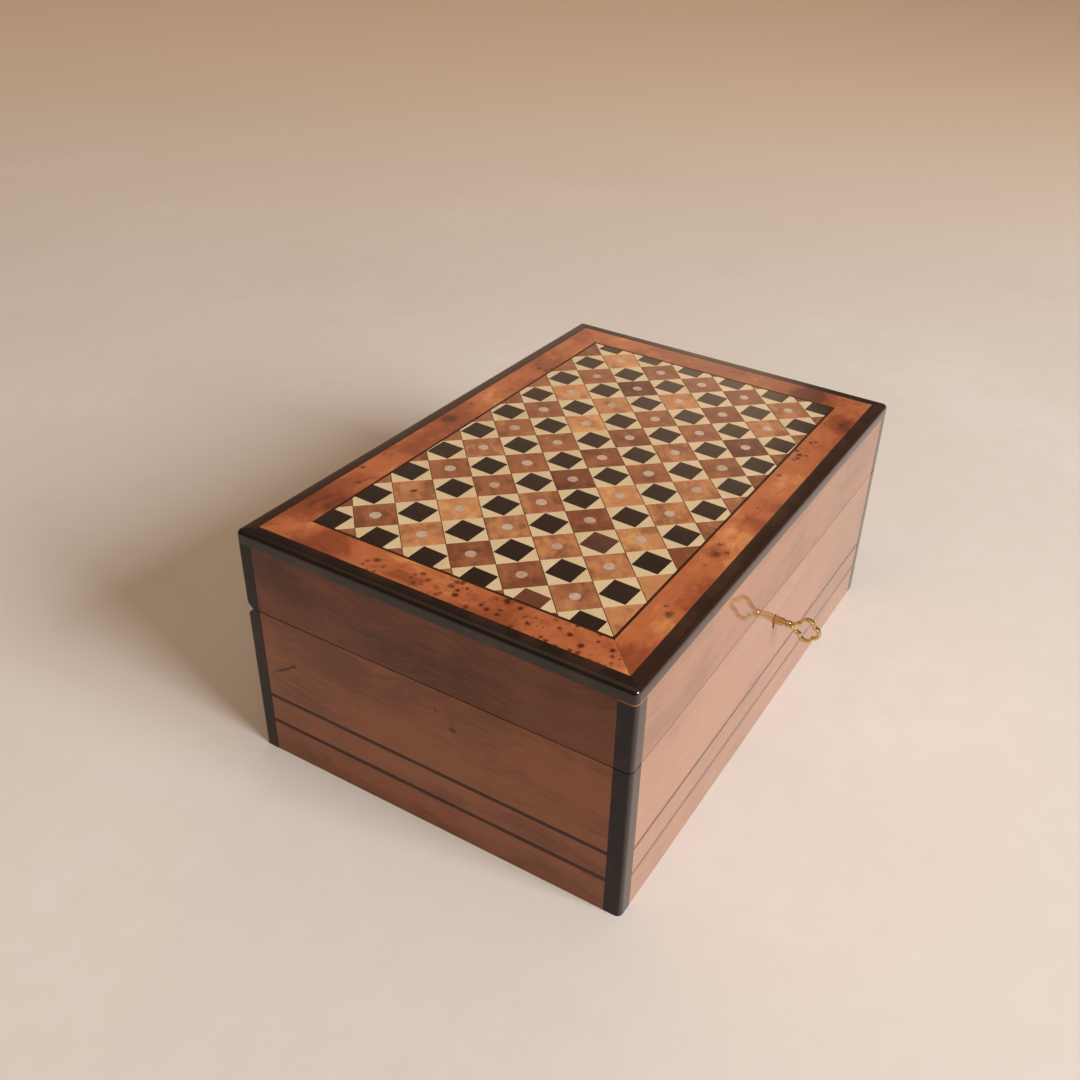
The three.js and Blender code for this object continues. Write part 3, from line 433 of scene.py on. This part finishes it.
def thuya_tile():
    s, colour, moved, bent = tile_wood("tile_thuya", TILE_THUYA)
    from_knot = s.math("SUBTRACT", s.vector("LENGTH", s.attribute("local", "Vector")), 1.2 * MM)
    far = s.math("MULTIPLY_ADD", s.noise(s.position, 520.0, detail=2.0), 2.4 * MM, from_knot)
    knot = s.math("MULTIPLY", s.step(far, 2.3 * MM, 0.9 * MM), s.attribute("eye"))
    specks = s.step(s.cells(moved, 240.0), 0.16, 0.05)
    speck = s.math("MULTIPLY", specks, s.step(s.noise(moved, 60.0), 0.55, 0.66))
    shadow = s.math("MULTIPLY", s.step(s.noise(bent, 75.0, detail=3.0), 0.52, 0.68), 0.5)
    colour = s.tint(colour, s.math("MULTIPLY", speck, 0.55), (82, 40, 26))
    colour = s.tint(colour, shadow, (96, 48, 30))
    colour = s.tint(colour, s.math("MULTIPLY", knot, 0.85), (66, 40, 30))
    return s.finish(colour, pores(s, s.position, 1500.0))


def plain_tile(name, stops, strength):
    """A tile of lemonwood or ebony, whose grain is finer than thuya's."""
    s, colour, *_ = tile_wood(name, stops, finer=2.0, strength=strength)
    return s.finish(colour, pores(s, s.position, 2200.0))


def pearl():
    """Mother-of-pearl: pale, with soft bands that turn from cream to rose and grey-green."""
    s = Shader("pearl")
    moved = s.apart(s.attribute("seed"), (1.0, 2.3, 0.0))
    swirl = s.noise(moved, 240.0, detail=2.0, colour=True)
    bent = s.vector("ADD", moved, s.vector("SCALE", swirl, scale=0.003))
    bands = s.noise(s.stretched(bent, (300.0, 900.0, 300.0), turn=0.5), 1.0, detail=3.0, rough=0.55)
    colour = s.ramp(bands, ((0.3, (166, 140, 118)), (0.42, (196, 170, 146)), (0.52, (212, 186, 170)),
                            (0.62, (196, 186, 166)), (0.74, (226, 206, 184))))
    colour = s.tint(colour, s.math("SUBTRACT", 1.0, s.attribute("tone")), (178, 132, 94))
    s.lacquer(coat_rough=0.05, rough=s.step(bands, 0.3, 0.7, 0.36, 0.22))
    s.surface.inputs["Sheen Weight"].default_value = 0.12
    return s.finish(colour, s.bump(bands, 0.1, 0.0002))


def glue():
    """The brown glue that shows as fine lines between the tiles."""
    s = Shader("marquetry_glue")
    value = s.noise(s.position, 500.0, detail=3.0)
    colour = s.ramp(value, ((0.3, (74, 36, 20)), (0.55, (104, 54, 30)), (0.75, (128, 70, 40))))
    s.lacquer(rough=0.5)
    return s.finish(colour, pores(s, s.position, 1800.0))


# -------------------------------------------------------------- marquetry geometry

PANEL_LOW, PANEL_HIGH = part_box("marquetry_panel")
PITCH = 25.35 * MM
LATTICE_TURN = math.radians(-1.95)
LATTICE_CENTRE = Vector((0.5 * MM, 0.5 * MM))
EBONY_COLUMNS, EBONY_ROWS = 10, 6
THUYA_COLUMNS, THUYA_ROWS = EBONY_COLUMNS - 1, EBONY_ROWS - 1
HALF_EBONY = 6.12 * MM
DOT_RADIUS = 2.6 * MM
STRIP_LINE = 0.34 * MM
GLUE_LINE = 0.12 * MM
TILE_TOP = PANEL_HIGH.z
TILE_FOOT = TILE_TOP - 0.16 * MM
TILE_EASE = 0.05 * MM
DOT_SIDES = 32
DOT_GAP = 0.04 * MM
PANEL_MARGIN = 0.05 * MM
BED_TOP = TILE_TOP - 0.12 * MM
SMALLEST_TILE = 0.4 * MM * MM
HALF_LINE, HALF_GLUE = STRIP_LINE / 2.0, GLUE_LINE / 2.0
PARALLEL = 1e-9


def to_box(u, v):
    """A lattice point as a place on the lid."""
    c, s = math.cos(LATTICE_TURN), math.sin(LATTICE_TURN)
    return Vector((c * u - s * v, s * u + c * v)) + LATTICE_CENTRE


PANEL_SIDES = ((0, PANEL_LOW.x + PANEL_MARGIN, 1), (0, PANEL_HIGH.x - PANEL_MARGIN, -1),
               (1, PANEL_LOW.y + PANEL_MARGIN, 1), (1, PANEL_HIGH.y - PANEL_MARGIN, -1))


def trimmed(points):
    """A convex polygon cut to the panel's rectangle."""
    for axis, limit, keep in PANEL_SIDES:
        result = []
        for k, here in enumerate(points):
            there = points[(k + 1) % len(points)]
            inside_here = keep * (here[axis] - limit) >= 0
            inside_there = keep * (there[axis] - limit) >= 0
            if inside_here:
                result.append(here)
            if inside_here != inside_there:
                t = (limit - here[axis]) / (there[axis] - here[axis])
                result.append(here.lerp(there, t))
        points = result
        if len(points) < 3:
            return []
    return points


def inset(points, gaps):
    """A convex, anticlockwise polygon with each side moved in by its own gap."""
    count = len(points)
    lines = []
    for k in range(count):
        a, b = points[k], points[(k + 1) % count]
        along = (b - a).normalized()
        inward = Vector((-along.y, along.x))
        lines.append((a + inward * gaps[k], along))
    result = []
    for k in range(count):
        (p, d), (q, e) = lines[k - 1], lines[k]
        cross = d.x * e.y - d.y * e.x
        if abs(cross) < PARALLEL:
            result.append(q)
            continue
        t = ((q - p).x * e.y - (q - p).y * e.x) / cross
        result.append(p + d * t)
    return result


def area(points):
    return 0.5 * sum(a.x * b.y - b.x * a.y for a, b in zip(points, points[1:] + points[:1]))


class Tiles:
    """Collects small flat tiles into one mesh, with each tile's tone, seed, eye and centre."""

    def __init__(self):
        self.points, self.faces = [], []
        self.tones, self.seeds, self.eyes, self.locals = [], [], [], []

    def _mark(self, added, centre, tone, seed, eye):
        for x, y, _ in added:
            self.locals.append((x - centre[0], y - centre[1], 0.0))
            self.tones.append(tone)
            self.seeds.append(seed)
            self.eyes.append(eye)

    def prism(self, outline, centre, tone, seed, eye=0.0):
        """A closed tile with a small eased edge round its top."""
        if len(outline) < 3 or area(outline) < SMALLEST_TILE:
            return
        first, count = len(self.points), len(outline)
        eased = inset(outline, [TILE_EASE] * count)
        if area(eased) <= 0:
            return
        rings = ((outline, TILE_FOOT), (outline, TILE_TOP - TILE_EASE), (eased, TILE_TOP))
        added = [(p.x, p.y, z) for ring, z in rings for p in ring]
        self.points += added
        self._mark(added, centre, tone, seed, eye)
        self.faces.append([first + k for k in reversed(range(count))])
        for level in range(2):
            low, high = first + level * count, first + (level + 1) * count
            for k in range(count):
                n = (k + 1) % count
                self.faces.append([low + k, low + n, high + n, high + k])
        self.faces.append([first + 2 * count + k for k in range(count)])

    def ring_tile(self, outer, inner, centre, tone, seed):
        """A closed tile with a round hole for its dot. outer and inner match point for point."""
        first, count = len(self.points), len(outer)
        middle = Vector(centre)
        eased = [p.lerp(middle, TILE_EASE / max((p - middle).length, 1e-9)) for p in outer]
        rings = ((outer, TILE_FOOT), (outer, TILE_TOP - TILE_EASE), (eased, TILE_TOP),
                 (inner, TILE_TOP), (inner, TILE_FOOT))
        added = [(p.x, p.y, z) for ring, z in rings for p in ring]
        self.points += added
        self._mark(added, centre, tone, seed, 0.0)
        for level in range(len(rings)):
            low = first + level * count
            high = first + ((level + 1) % len(rings)) * count
            for k in range(count):
                n = (k + 1) % count
                self.faces.append([low + k, low + n, high + n, high + k])

    def mesh(self, name, material):
        data = bpy.data.meshes.new(name)
        data.from_pydata([tuple(p) for p in self.points], [], self.faces)
        for label, values in (("tone", self.tones), ("seed", self.seeds), ("eye", self.eyes)):
            data.attributes.new(label, "FLOAT", "POINT").data.foreach_set("value", values)
        flat = [c for p in self.locals for c in p]
        data.attributes.new("local", "FLOAT_VECTOR", "POINT").data.foreach_set("vector", flat)
        data.materials.append(material)
        data.validate()
        piece = bpy.data.objects.new(name, data)
        bpy.context.scene.collection.objects.link(piece)
        return piece


def scatter(i, j, salt=0):
    """A fixed number between 0 and 1 for a tile, the same on every run."""
    value = math.sin(i * 12.9898 + j * 78.233 + salt * 37.719) * 43758.5453
    return value - math.floor(value)


# Tones run from 0, dark, to 1, pale; each pair is a tone and how far the tiles stray from it.
EBONY_TONE, EBONY_SPREAD = 0.30, 0.12
LEMON_TONE, LEMON_SPREAD = 0.36, 0.18
THUYA_TONE, THUYA_SPREAD = 0.43, 0.36
CUT_TONE, CUT_SPREAD = 0.24, 0.26
GOLDEN_TONE, GOLDEN_COLUMNS = 0.66, 2
BRIGHT_DOT, FAINT_DOT = 0.92, 0.62
FAINT_SHARE = 0.3
# Odd tiles, by column and row from the front left: one with a knot and no dot, two not quite black.
KNOTTED_SQUARE = (1, 4)
BROWN_SQUARES = {(0, 1): 0.9, (2, 1): 0.80}

DIAGONALS = ((-1, -1), (1, -1), (1, 1), (-1, 1))
STRAIGHTS = ((0, -1), (1, 0), (0, 1), (-1, 0))
DIAMOND = ((1, 0), (0, 1), (-1, 0), (0, -1))

blacks, lemons, thuyas, dots = Tiles(), Tiles(), Tiles(), Tiles()


def lattice(column, row, columns, rows):
    """Where a square of the lattice is, from the lattice's middle."""
    return (column - (columns - 1) / 2.0) * PITCH, (row - (rows - 1) / 2.0) * PITCH


def around(u, v, reach, ways):
    """Places on the lid, reach away from a lattice point in each way."""
    return [to_box(u + a * reach, v + b * reach) for a, b in ways]


def line_gap(start, end):
    """Half the line between two tiles: the strip lines rise to the right, the rest is glue."""
    side = end - start
    return HALF_LINE if side.x * side.y > 0 else HALF_GLUE


def lay_ebony(column, row):
    """A black square and the four lemonwood pieces round it."""
    u, v = lattice(column, row, EBONY_COLUMNS, EBONY_ROWS)
    corners = around(u, v, HALF_EBONY, DIAGONALS)
    tone = BROWN_SQUARES.get((column, row), EBONY_TONE + EBONY_SPREAD * scatter(column, row))
    square = trimmed(inset(corners, [HALF_GLUE] * len(corners)))
    blacks.prism(square, to_box(u, v), tone, scatter(column, row, 1))
    outers = around(u, v, PITCH / 4.0, DIAGONALS)
    for k, tip in enumerate(around(u, v, PITCH / 2.0, STRAIGHTS)):
        n = (k + 1) % len(corners)
        outline = [tip, outers[n], corners[n], corners[k], outers[k]]
        gaps = [line_gap(tip, outers[n]), 0.0, HALF_GLUE, 0.0, line_gap(outers[k], tip)]
        piece = column * 4 + k
        lemons.prism(trimmed(inset(outline, gaps)), tip, LEMON_TONE + LEMON_SPREAD * scatter(piece, row, 2),
                     scatter(piece, row, 3))


def edge_along(outline, centre, ray):
    """Where a ray from the centre leaves a convex outline."""
    hits = []
    for start, end in zip(outline, outline[1:] + outline[:1]):
        side, away = end - start, start - centre
        cross = ray.x * side.y - ray.y * side.x
        if abs(cross) >= 1e-12:
            hits.append((away.x * side.y - away.y * side.x) / cross)
    return centre + ray * min(hit for hit in hits if hit > 0)


def thuya_tone(column, row, whole):
    if whole:
        return THUYA_TONE + THUYA_SPREAD * (scatter(column, row, 7) + scatter(column, row, 8) - 1.0)
    if column < GOLDEN_COLUMNS and row < 0:
        return GOLDEN_TONE
    return CUT_TONE + CUT_SPREAD * scatter(column, row, 4)


def lay_thuya(column, row):
    """A thuya square, with a pearl dot unless the panel's edge cuts it or it has a knot."""
    u, v = lattice(column, row, THUYA_COLUMNS, THUYA_ROWS)
    centre = to_box(u, v)
    diamond = around(u, v, PITCH / 2.0, DIAMOND)
    lozenge = inset(diamond, [line_gap(*side) for side in zip(diamond, diamond[1:] + diamond[:1])])
    whole = 0 <= column < THUYA_COLUMNS and 0 <= row < THUYA_ROWS
    tone, seed = thuya_tone(column, row, whole), scatter(column, row, 5)
    knotted = (column, row) == KNOTTED_SQUARE
    if knotted or not whole:
        thuyas.prism(trimmed(lozenge), centre, tone, seed, 1.0 if knotted else 0.0)
        return
    outer, inner, disc = [], [], []
    radius = DOT_RADIUS * (0.93 + 0.12 * scatter(column, row, 6))
    for k in range(DOT_SIDES):
        angle = LATTICE_TURN + 2.0 * math.pi * k / DOT_SIDES
        ray = Vector((math.cos(angle), math.sin(angle)))
        hole = radius * (1.0 + 0.02 * math.sin(3 * angle + 9 * seed))
        outer.append(edge_along(lozenge, centre, ray))
        inner.append(centre + ray * hole)
        disc.append(centre + ray * (hole - DOT_GAP))
    thuyas.ring_tile(outer, inner, centre, tone, seed)
    faint = scatter(column, row, 9) < FAINT_SHARE
    dots.prism(disc, centre, FAINT_DOT if faint else BRIGHT_DOT, seed)


for column in range(EBONY_COLUMNS):
    for row in range(EBONY_ROWS):
        lay_ebony(column, row)
for column in range(-1, EBONY_COLUMNS):
    for row in range(-1, EBONY_ROWS):
        lay_thuya(column, row)


def bed_piece(name, material):
    """The ground that the tiles are glued to: it shows as the dark lines between them."""
    data = bpy.data.meshes.new(name)
    (_, left, _), (_, right, _), (_, front, _), (_, back, _) = PANEL_SIDES
    outline = ((left, front), (right, front), (right, back), (left, back))
    count = len(outline)
    points = [(x, y, z) for z in (PANEL_LOW.z, BED_TOP) for x, y in outline]
    faces = [[3, 2, 1, 0], [4, 5, 6, 7]]
    faces += [[k, (k + 1) % count, count + (k + 1) % count, count + k] for k in range(count)]
    data.from_pydata(points, [], faces)
    data.materials.append(material)
    piece = bpy.data.objects.new(name, data)
    bpy.context.scene.collection.objects.link(piece)
    return piece


marquetry = [
    bed_piece("marquetry_bed", glue()),
    blacks.mesh("marquetry_ebony", plain_tile("tile_ebony", TILE_EBONY, 0.5)),
    lemons.mesh("marquetry_lemonwood", plain_tile("tile_lemonwood", TILE_LEMONWOOD, 0.8)),
    thuyas.mesh("marquetry_thuya", thuya_tile()),
    dots.mesh("marquetry_pearl_dots", pearl()),
]
for piece in marquetry:
    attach(piece, "lid")
    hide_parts("marquetry_panel")


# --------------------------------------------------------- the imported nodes' looks

def smooth_shading():
    """A modifier's nodes that drop the faceted normals and shade smooth. The mesh itself stays."""
    group = bpy.data.node_groups.new("smooth_shading", "GeometryNodeTree")
    for way in ("INPUT", "OUTPUT"):
        group.interface.new_socket("Geometry", in_out=way, socket_type="NodeSocketGeometry")
    start, end = group.nodes.new("NodeGroupInput"), group.nodes.new("NodeGroupOutput")
    bare = group.nodes.new("GeometryNodeRemoveAttribute")
    bare.inputs["Name"].default_value = "custom_normal"
    smooth = group.nodes.new("GeometryNodeSetShadeSmooth")
    group.links.new(start.outputs[0], bare.inputs["Geometry"])
    group.links.new(bare.outputs[0], smooth.inputs["Geometry"])
    group.links.new(smooth.outputs[0], end.inputs[0])
    return group


SMOOTH_SHADING = smooth_shading()


def soften(names, width, segments=2, angle=40.0):
    """Joins a node's split corners, eases its hard edges and shades its rounds smooth."""
    for name in names:
        node = NODES[name]
        node.modifiers.new("shading", "NODES").node_group = SMOOTH_SHADING
        weld = node.modifiers.new("weld", "WELD")
        weld.merge_threshold = 2e-6
        if width:
            ease = node.modifiers.new("ease", "BEVEL")
            ease.width = width
            ease.segments = segments
            ease.limit_method = "ANGLE"
            ease.angle_limit = math.radians(angle)
            ease.harden_normals = True
            ease.use_clamp_overlap = True


def wear(names, material):
    """Gives nodes a material; a later call overrides an earlier one."""
    for name in names:
        data = NODES[name].data
        data.materials.clear()
        data.materials.append(material)


def having(*starts):
    return [n for n in NODES if n.startswith(starts)]


# Marks: (centre, half sizes, turn, depth). Knots: (x, y, reach). Shades: (x, y, reach, depth).
LEFT_FACE_MARKS = (
    ((LEFT_X, 0.0765, 0.0518), (0.02, 0.0105, 0.0009), math.radians(33.0), 0.8),
    ((LEFT_X, 0.0712, 0.0556), (0.02, 0.0030, 0.0012), math.radians(30.0), 0.6),
    ((LEFT_X, -0.0143, 0.0611), (0.02, 0.0024, 0.0016), math.radians(10.0), 0.75),
    ((LEFT_X, -0.0057, 0.0680), (0.02, 0.0011, 0.0018), 0.0, 0.45),
)
LID_LEFT_MARKS = (
    ((LEFT_X, 0.072, 0.100), (0.03, 0.030, 0.013), math.radians(-14.0), 0.42),
    ((LEFT_X, 0.000, 0.092), (0.03, 0.036, 0.006), math.radians(4.0), 0.16),
)
wear(["left_wall"], thuya("thuya_left_wall", "y", dark=0.03, places=LEFT_FACE_MARKS, coat=0.6))
wear(["lid_rail_left"], thuya("thuya_left_rail", "y", dark=0.17, places=LID_LEFT_MARKS, offset=(0, 0.43, 0.2),
                              coat=0.6))
wear(["right_wall"], thuya("thuya_right_wall", "y", offset=(0.4, 0.2, 0.1)))
wear(["lid_rail_right"], thuya("thuya_right_rail", "y", dark=0.03, offset=(0.3, 0.1, 0.4)))
# The front wall and front rail are tinted pale as a painted reflection of their gloss.
wear(["front_wall"], thuya("thuya_front_wall", "x", offset=(0.2, 0.5, 0.3), pale=0.18, coat_ior=1.7))
wear(["lid_rail_front"], thuya("thuya_front_rail", "x", dark=0.03, offset=(0.6, 0.1, 0.2), pale=0.11,
                               coat_ior=1.7))
wear(["back_wall"], thuya("thuya_back_wall", "x", offset=(0.9, 0.4, 0.6)))
wear(["lid_rail_back"], thuya("thuya_back_rail", "x", dark=0.03, offset=(0.8, 0.3, 0.9)))

FRONT_KNOTS = ((-0.0925, -0.083, 0.0030), (-0.0885, -0.0795, 0.0016), (-0.045, -0.0795, 0.0034),
               (-0.041, -0.0835, 0.0018), (-0.037, -0.0785, 0.0022), (0.033, -0.0765, 0.0022),
               (0.0, -0.0795, 0.0013), (0.100, -0.083, 0.0026))
BACK_KNOTS = ((-0.070, 0.0855, 0.0020), (-0.082, 0.0785, 0.0020), (0.012, 0.084, 0.0014))
LEFT_CLUSTERS = ((-0.1262, 0.010, 0.0036), (-0.1292, 0.031, 0.0042))
LEFT_KNOTS = tuple((x + reach * math.cos(turn), y + reach * math.sin(turn),
                    0.0016 + 0.0005 * math.sin(3.0 * turn))
                   for x, y, reach in LEFT_CLUSTERS for turn in (0.3, 1.2, 1.9, 3.0, 3.9, 5.1))
FRONT_SHADES = ((0.100, -0.083, 0.012, 0.26), (-0.122, -0.085, 0.020, 0.12), (-0.043, -0.081, 0.008, 0.22),
                (-0.014, -0.084, 0.012, 0.12), (-0.072, -0.086, 0.016, 0.08))
BACK_SHADES = ((-0.030, 0.081, 0.022, 0.12), (-0.105, 0.084, 0.016, 0.10), (-0.008, 0.084, 0.006, 0.2))
LEFT_SHADES = ((-0.126, 0.060, 0.018, 0.12), (-0.126, 0.021, 0.010, 0.10), (-0.128, 0.010, 0.007, 0.14),
               (-0.128, 0.031, 0.007, 0.14))
RIGHT_SHADES = ((0.126, -0.058, 0.018, 0.26), (0.130, 0.030, 0.016, 0.08))
wear(["burl_border_front"], burl("burl_front", "x", (0.62, 0.05), FRONT_KNOTS, offset=(0.3, 0.1, 0.0),
                                 shades=FRONT_SHADES))
wear(["burl_border_back"], burl("burl_back", "x", (0.60, 0.06), BACK_KNOTS, dark=0.03, offset=(0.7, 0.6, 0.0),
                                shades=BACK_SHADES))
wear(["burl_border_left"], burl("burl_left", "y", (0.22, 0.16), LEFT_KNOTS, dark=-0.02,
                                offset=(0.1, 0.9, 0.0), shades=LEFT_SHADES, fewer=0.0))
wear(["burl_border_right"], burl("burl_right", "y", (0.66, 0.06), (), dark=0.05, offset=(0.5, 0.3, 0.0),
                                 shades=RIGHT_SHADES))

wear(having("body_post"), ebony("ebony_posts", coat=0.35, front_gloss=True))
wear(having("lid_post"), ebony("ebony_lid_posts", coat=0.35, front_gloss=True))
wear(["lid_post_front_left"], ebony("ebony_lid_post_capped", capped=True, coat=0.35, front_gloss=True))
wear(having("edging_front", "edging_back"), ebony("ebony_edging_x", "x", coat=0.7, brown=0.16,
                                                  front_gloss=True))
wear(having("edging_left", "edging_right"), ebony("ebony_edging_y", "y", coat=0.6, front_gloss=True))
wear(having("upper_string", "lower_string", "field_string"), ebony("ebony_string", "x", brown=0.4, coat=0.35))
# The front's strings: a real brown, with a painted reflection, a pale tint for the front's sheen.
wear(["upper_string_front"], ebony("ebony_string_painted_reflection", "x", brown=0.6, coat=0.9, reflection_tint=0.14))
wear(["lower_string_front"], ebony("ebony_string_more_painted_reflection", "x", brown=0.7, coat=0.9, reflection_tint=0.32))
wear(["bottom_board", "lid_board"], carcass("thuya_oiled"))

BRASS = ((236, 218, 166), (218, 197, 140), (192, 168, 114))
BRUSHED_X = (300.0, 3200.0, 3200.0)
wear(["key"], metal("brass_key", *BRASS, rough=0.16, worn=0.8))
wear(having("hinge_leaf", "hinge_pin"), metal("brass_hinge", *BRASS, rough=0.22, brushed=BRUSHED_X))
wear(having("lock_", "strike_plate", "bolt"), metal("brass_lock", *BRASS, rough=0.24, brushed=BRUSHED_X))
wear([n for n in NODES if "screw" in n], metal("brass_screw", *BRASS, rough=0.2, worn=0.7))
wear(["bolt_spring"], metal("spring_steel", (150, 154, 166), (112, 116, 130), (70, 72, 84), rough=0.25))

WOODS = having("front_wall", "back_wall", "left_wall", "right_wall", "lid_rail", "bottom_board", "lid_board")
VENEERS = having("burl_border", "field_string", "upper_string", "lower_string")
ROUNDED = having("body_post", "lid_post", "edging")
FITTINGS = [n for n in NODES if n.startswith(("hinge", "lock", "strike", "bolt")) or "screw" in n]
soften(WOODS, 0.18 * MM)
soften(VENEERS, 0.06 * MM, segments=1)
soften(ROUNDED, 0.15 * MM, angle=50.0)
soften(["key"], 0.12 * MM)
soften(FITTINGS, 0.06 * MM, segments=1)


# ------------------------------------------------------------------- the studio

FLOOR_REACH = 7.0
FLOOR_COLOURS = ((0.3, (228, 222, 216)), (0.5, (233, 228, 223)), (0.7, (238, 234, 230)))
# The far colour is painted light: a warm glow laid on the floor far behind the box.
FLOOR_FAR_WAY, FLOOR_FAR, FLOOR_PAINTED_LIGHT = (0.745, 0.39, 0.0), (0.25, 1.5), (245, 228, 208)


def ground():
    """A plain pale limewashed floor, with a painted warm light far behind the box."""
    s = Shader("floor_plaster")
    cloud = s.noise(s.position, 3.2, detail=4.0, rough=0.6)
    fine = s.noise(s.position, 60.0, detail=4.0, rough=0.6)
    colour = s.ramp(s.weigh((cloud, 0.75), (fine, 0.25)), FLOOR_COLOURS)
    away = s.vector("DOT_PRODUCT", s.position, FLOOR_FAR_WAY)
    # Painted light: the floor is tinted warm far behind the box.
    colour = s.tint(colour, s.step(away, *FLOOR_FAR), FLOOR_PAINTED_LIGHT)
    s.surface.inputs["Roughness"].default_value = 0.7
    s.surface.inputs["Specular IOR Level"].default_value = 0.25
    material = s.finish(colour, s.bump(fine, 0.12, 0.0012))
    data = bpy.data.meshes.new("floor")
    corners = [(a * FLOOR_REACH, b * FLOOR_REACH, 0) for a, b in DIAGONALS]
    data.from_pydata(corners, [], [(0, 1, 2, 3)])
    data.materials.append(material)
    floor = bpy.data.objects.new("floor", data)
    bpy.context.scene.collection.objects.link(floor)


def area_light(name, place, aim, size, power, colour):
    data = bpy.data.lights.new(name, "AREA")
    data.shape = "RECTANGLE"
    data.size, data.size_y = size
    data.energy = power
    data.color = colour
    lamp = bpy.data.objects.new(name, data)
    lamp.location = place
    lamp.rotation_euler = (Vector(aim) - Vector(place)).to_track_quat("-Z", "Y").to_euler()
    bpy.context.scene.collection.objects.link(lamp)


# Light from each part of the room, as linear colours.
WALL_BY_CORNER, WALL_LIT = (1.50, 1.02, 0.68, 1.0), (0.78, 0.52, 0.35, 1.0)
WALL_HIGH, WALL_SHADED = (0.34, 0.20, 0.13, 1.0), (0.24, 0.15, 0.10, 1.0)
ROOM_DIM, CEILING = (0.18, 0.12, 0.08, 1.0), (0.66, 0.49, 0.34, 1.0)
# The lit wall's direction, and the one at right angles to it that runs along the wall.
TO_WALL, ALONG_WALL = (0.96, 0.28, 0.0), (-0.30, 0.954, 0.0)


def surroundings():
    """A warm dim room with a ceiling, and on the right a bright low wall that the lacquer mirrors."""
    world = bpy.data.worlds.new("room")
    world.use_nodes = True
    tree = world.node_tree
    tree.nodes.clear()

    def toward(way):
        node = tree.nodes.new("ShaderNodeVectorMath")
        node.operation = "DOT_PRODUCT"
        node.inputs[1].default_value = way
        tree.links.new(place, node.inputs[0])
        return node.outputs["Value"]

    def mapped(source, low, high):
        node = tree.nodes.new("ShaderNodeMapRange")
        node.interpolation_type = "SMOOTHSTEP"
        node.inputs["From Min"].default_value = low
        node.inputs["From Max"].default_value = high
        tree.links.new(source, node.inputs["Value"])
        return node.outputs["Result"]

    def mixed(amount, a, b):
        node = tree.nodes.new("ShaderNodeMix")
        node.data_type = "RGBA"
        tree.links.new(amount, node.inputs[0])
        for socket, value in ((node.inputs[6], a), (node.inputs[7], b)):
            if isinstance(value, tuple):
                socket.default_value = value
            else:
                tree.links.new(value, socket)
        return node.outputs[2]

    place = tree.nodes.new("ShaderNodeTexCoord").outputs["Generated"]
    height, along = toward((0.0, 0.0, 1.0)), toward(ALONG_WALL)
    wall = mixed(mapped(along, 0.06, 0.20), WALL_BY_CORNER, WALL_LIT)
    wall = mixed(mapped(height, 0.36, 0.58), wall, WALL_HIGH)
    wall = mixed(mapped(along, -0.035, 0.045), WALL_SHADED, wall)
    room = mixed(mapped(toward(TO_WALL), 0.60, 0.94), ROOM_DIM, wall)
    colour = mixed(mapped(height, 0.66, 0.92), room, CEILING)
    back = tree.nodes.new("ShaderNodeBackground")
    out = tree.nodes.new("ShaderNodeOutputWorld")
    tree.links.new(colour, back.inputs["Color"])
    tree.links.new(back.outputs[0], out.inputs["Surface"])
    bpy.context.scene.world = world


ground()
surroundings()
area_light("window", (-0.28, -2.45, 1.42), (0.0, 0.0, 0.05), (1.2, 1.1), 84.0, (1.0, 0.995, 0.985))

# -------------------------------------------------------------------- the camera

# Heading is anticlockwise from +X, dip is down from level, and roll is about the view's own line.
CAMERA_PLACE = Vector((-0.41155, -0.22317, 0.37370))
CAMERA_HEADING, CAMERA_DIP, CAMERA_ROLL = math.radians(27.754), math.radians(32.675), math.radians(3.445)
RIGHT_ANGLE = math.radians(90.0)

lens = bpy.data.cameras.new("camera")
lens.sensor_fit = "HORIZONTAL"
lens.sensor_width = 36.0
lens.lens = 37.578
lens.shift_x, lens.shift_y = -0.06496, -0.00156
lens.clip_start, lens.clip_end = 0.01, 40.0
camera = bpy.data.objects.new("camera", lens)
camera.matrix_world = (Matrix.Translation(CAMERA_PLACE)
                       @ Matrix.Rotation(CAMERA_HEADING - RIGHT_ANGLE, 4, "Z")
                       @ Matrix.Rotation(RIGHT_ANGLE - CAMERA_DIP, 4, "X")
                       @ Matrix.Rotation(CAMERA_ROLL, 4, "Z"))
bpy.context.scene.collection.objects.link(camera)
bpy.context.scene.camera = camera

bpy.context.scene.view_settings.view_transform = "Standard"
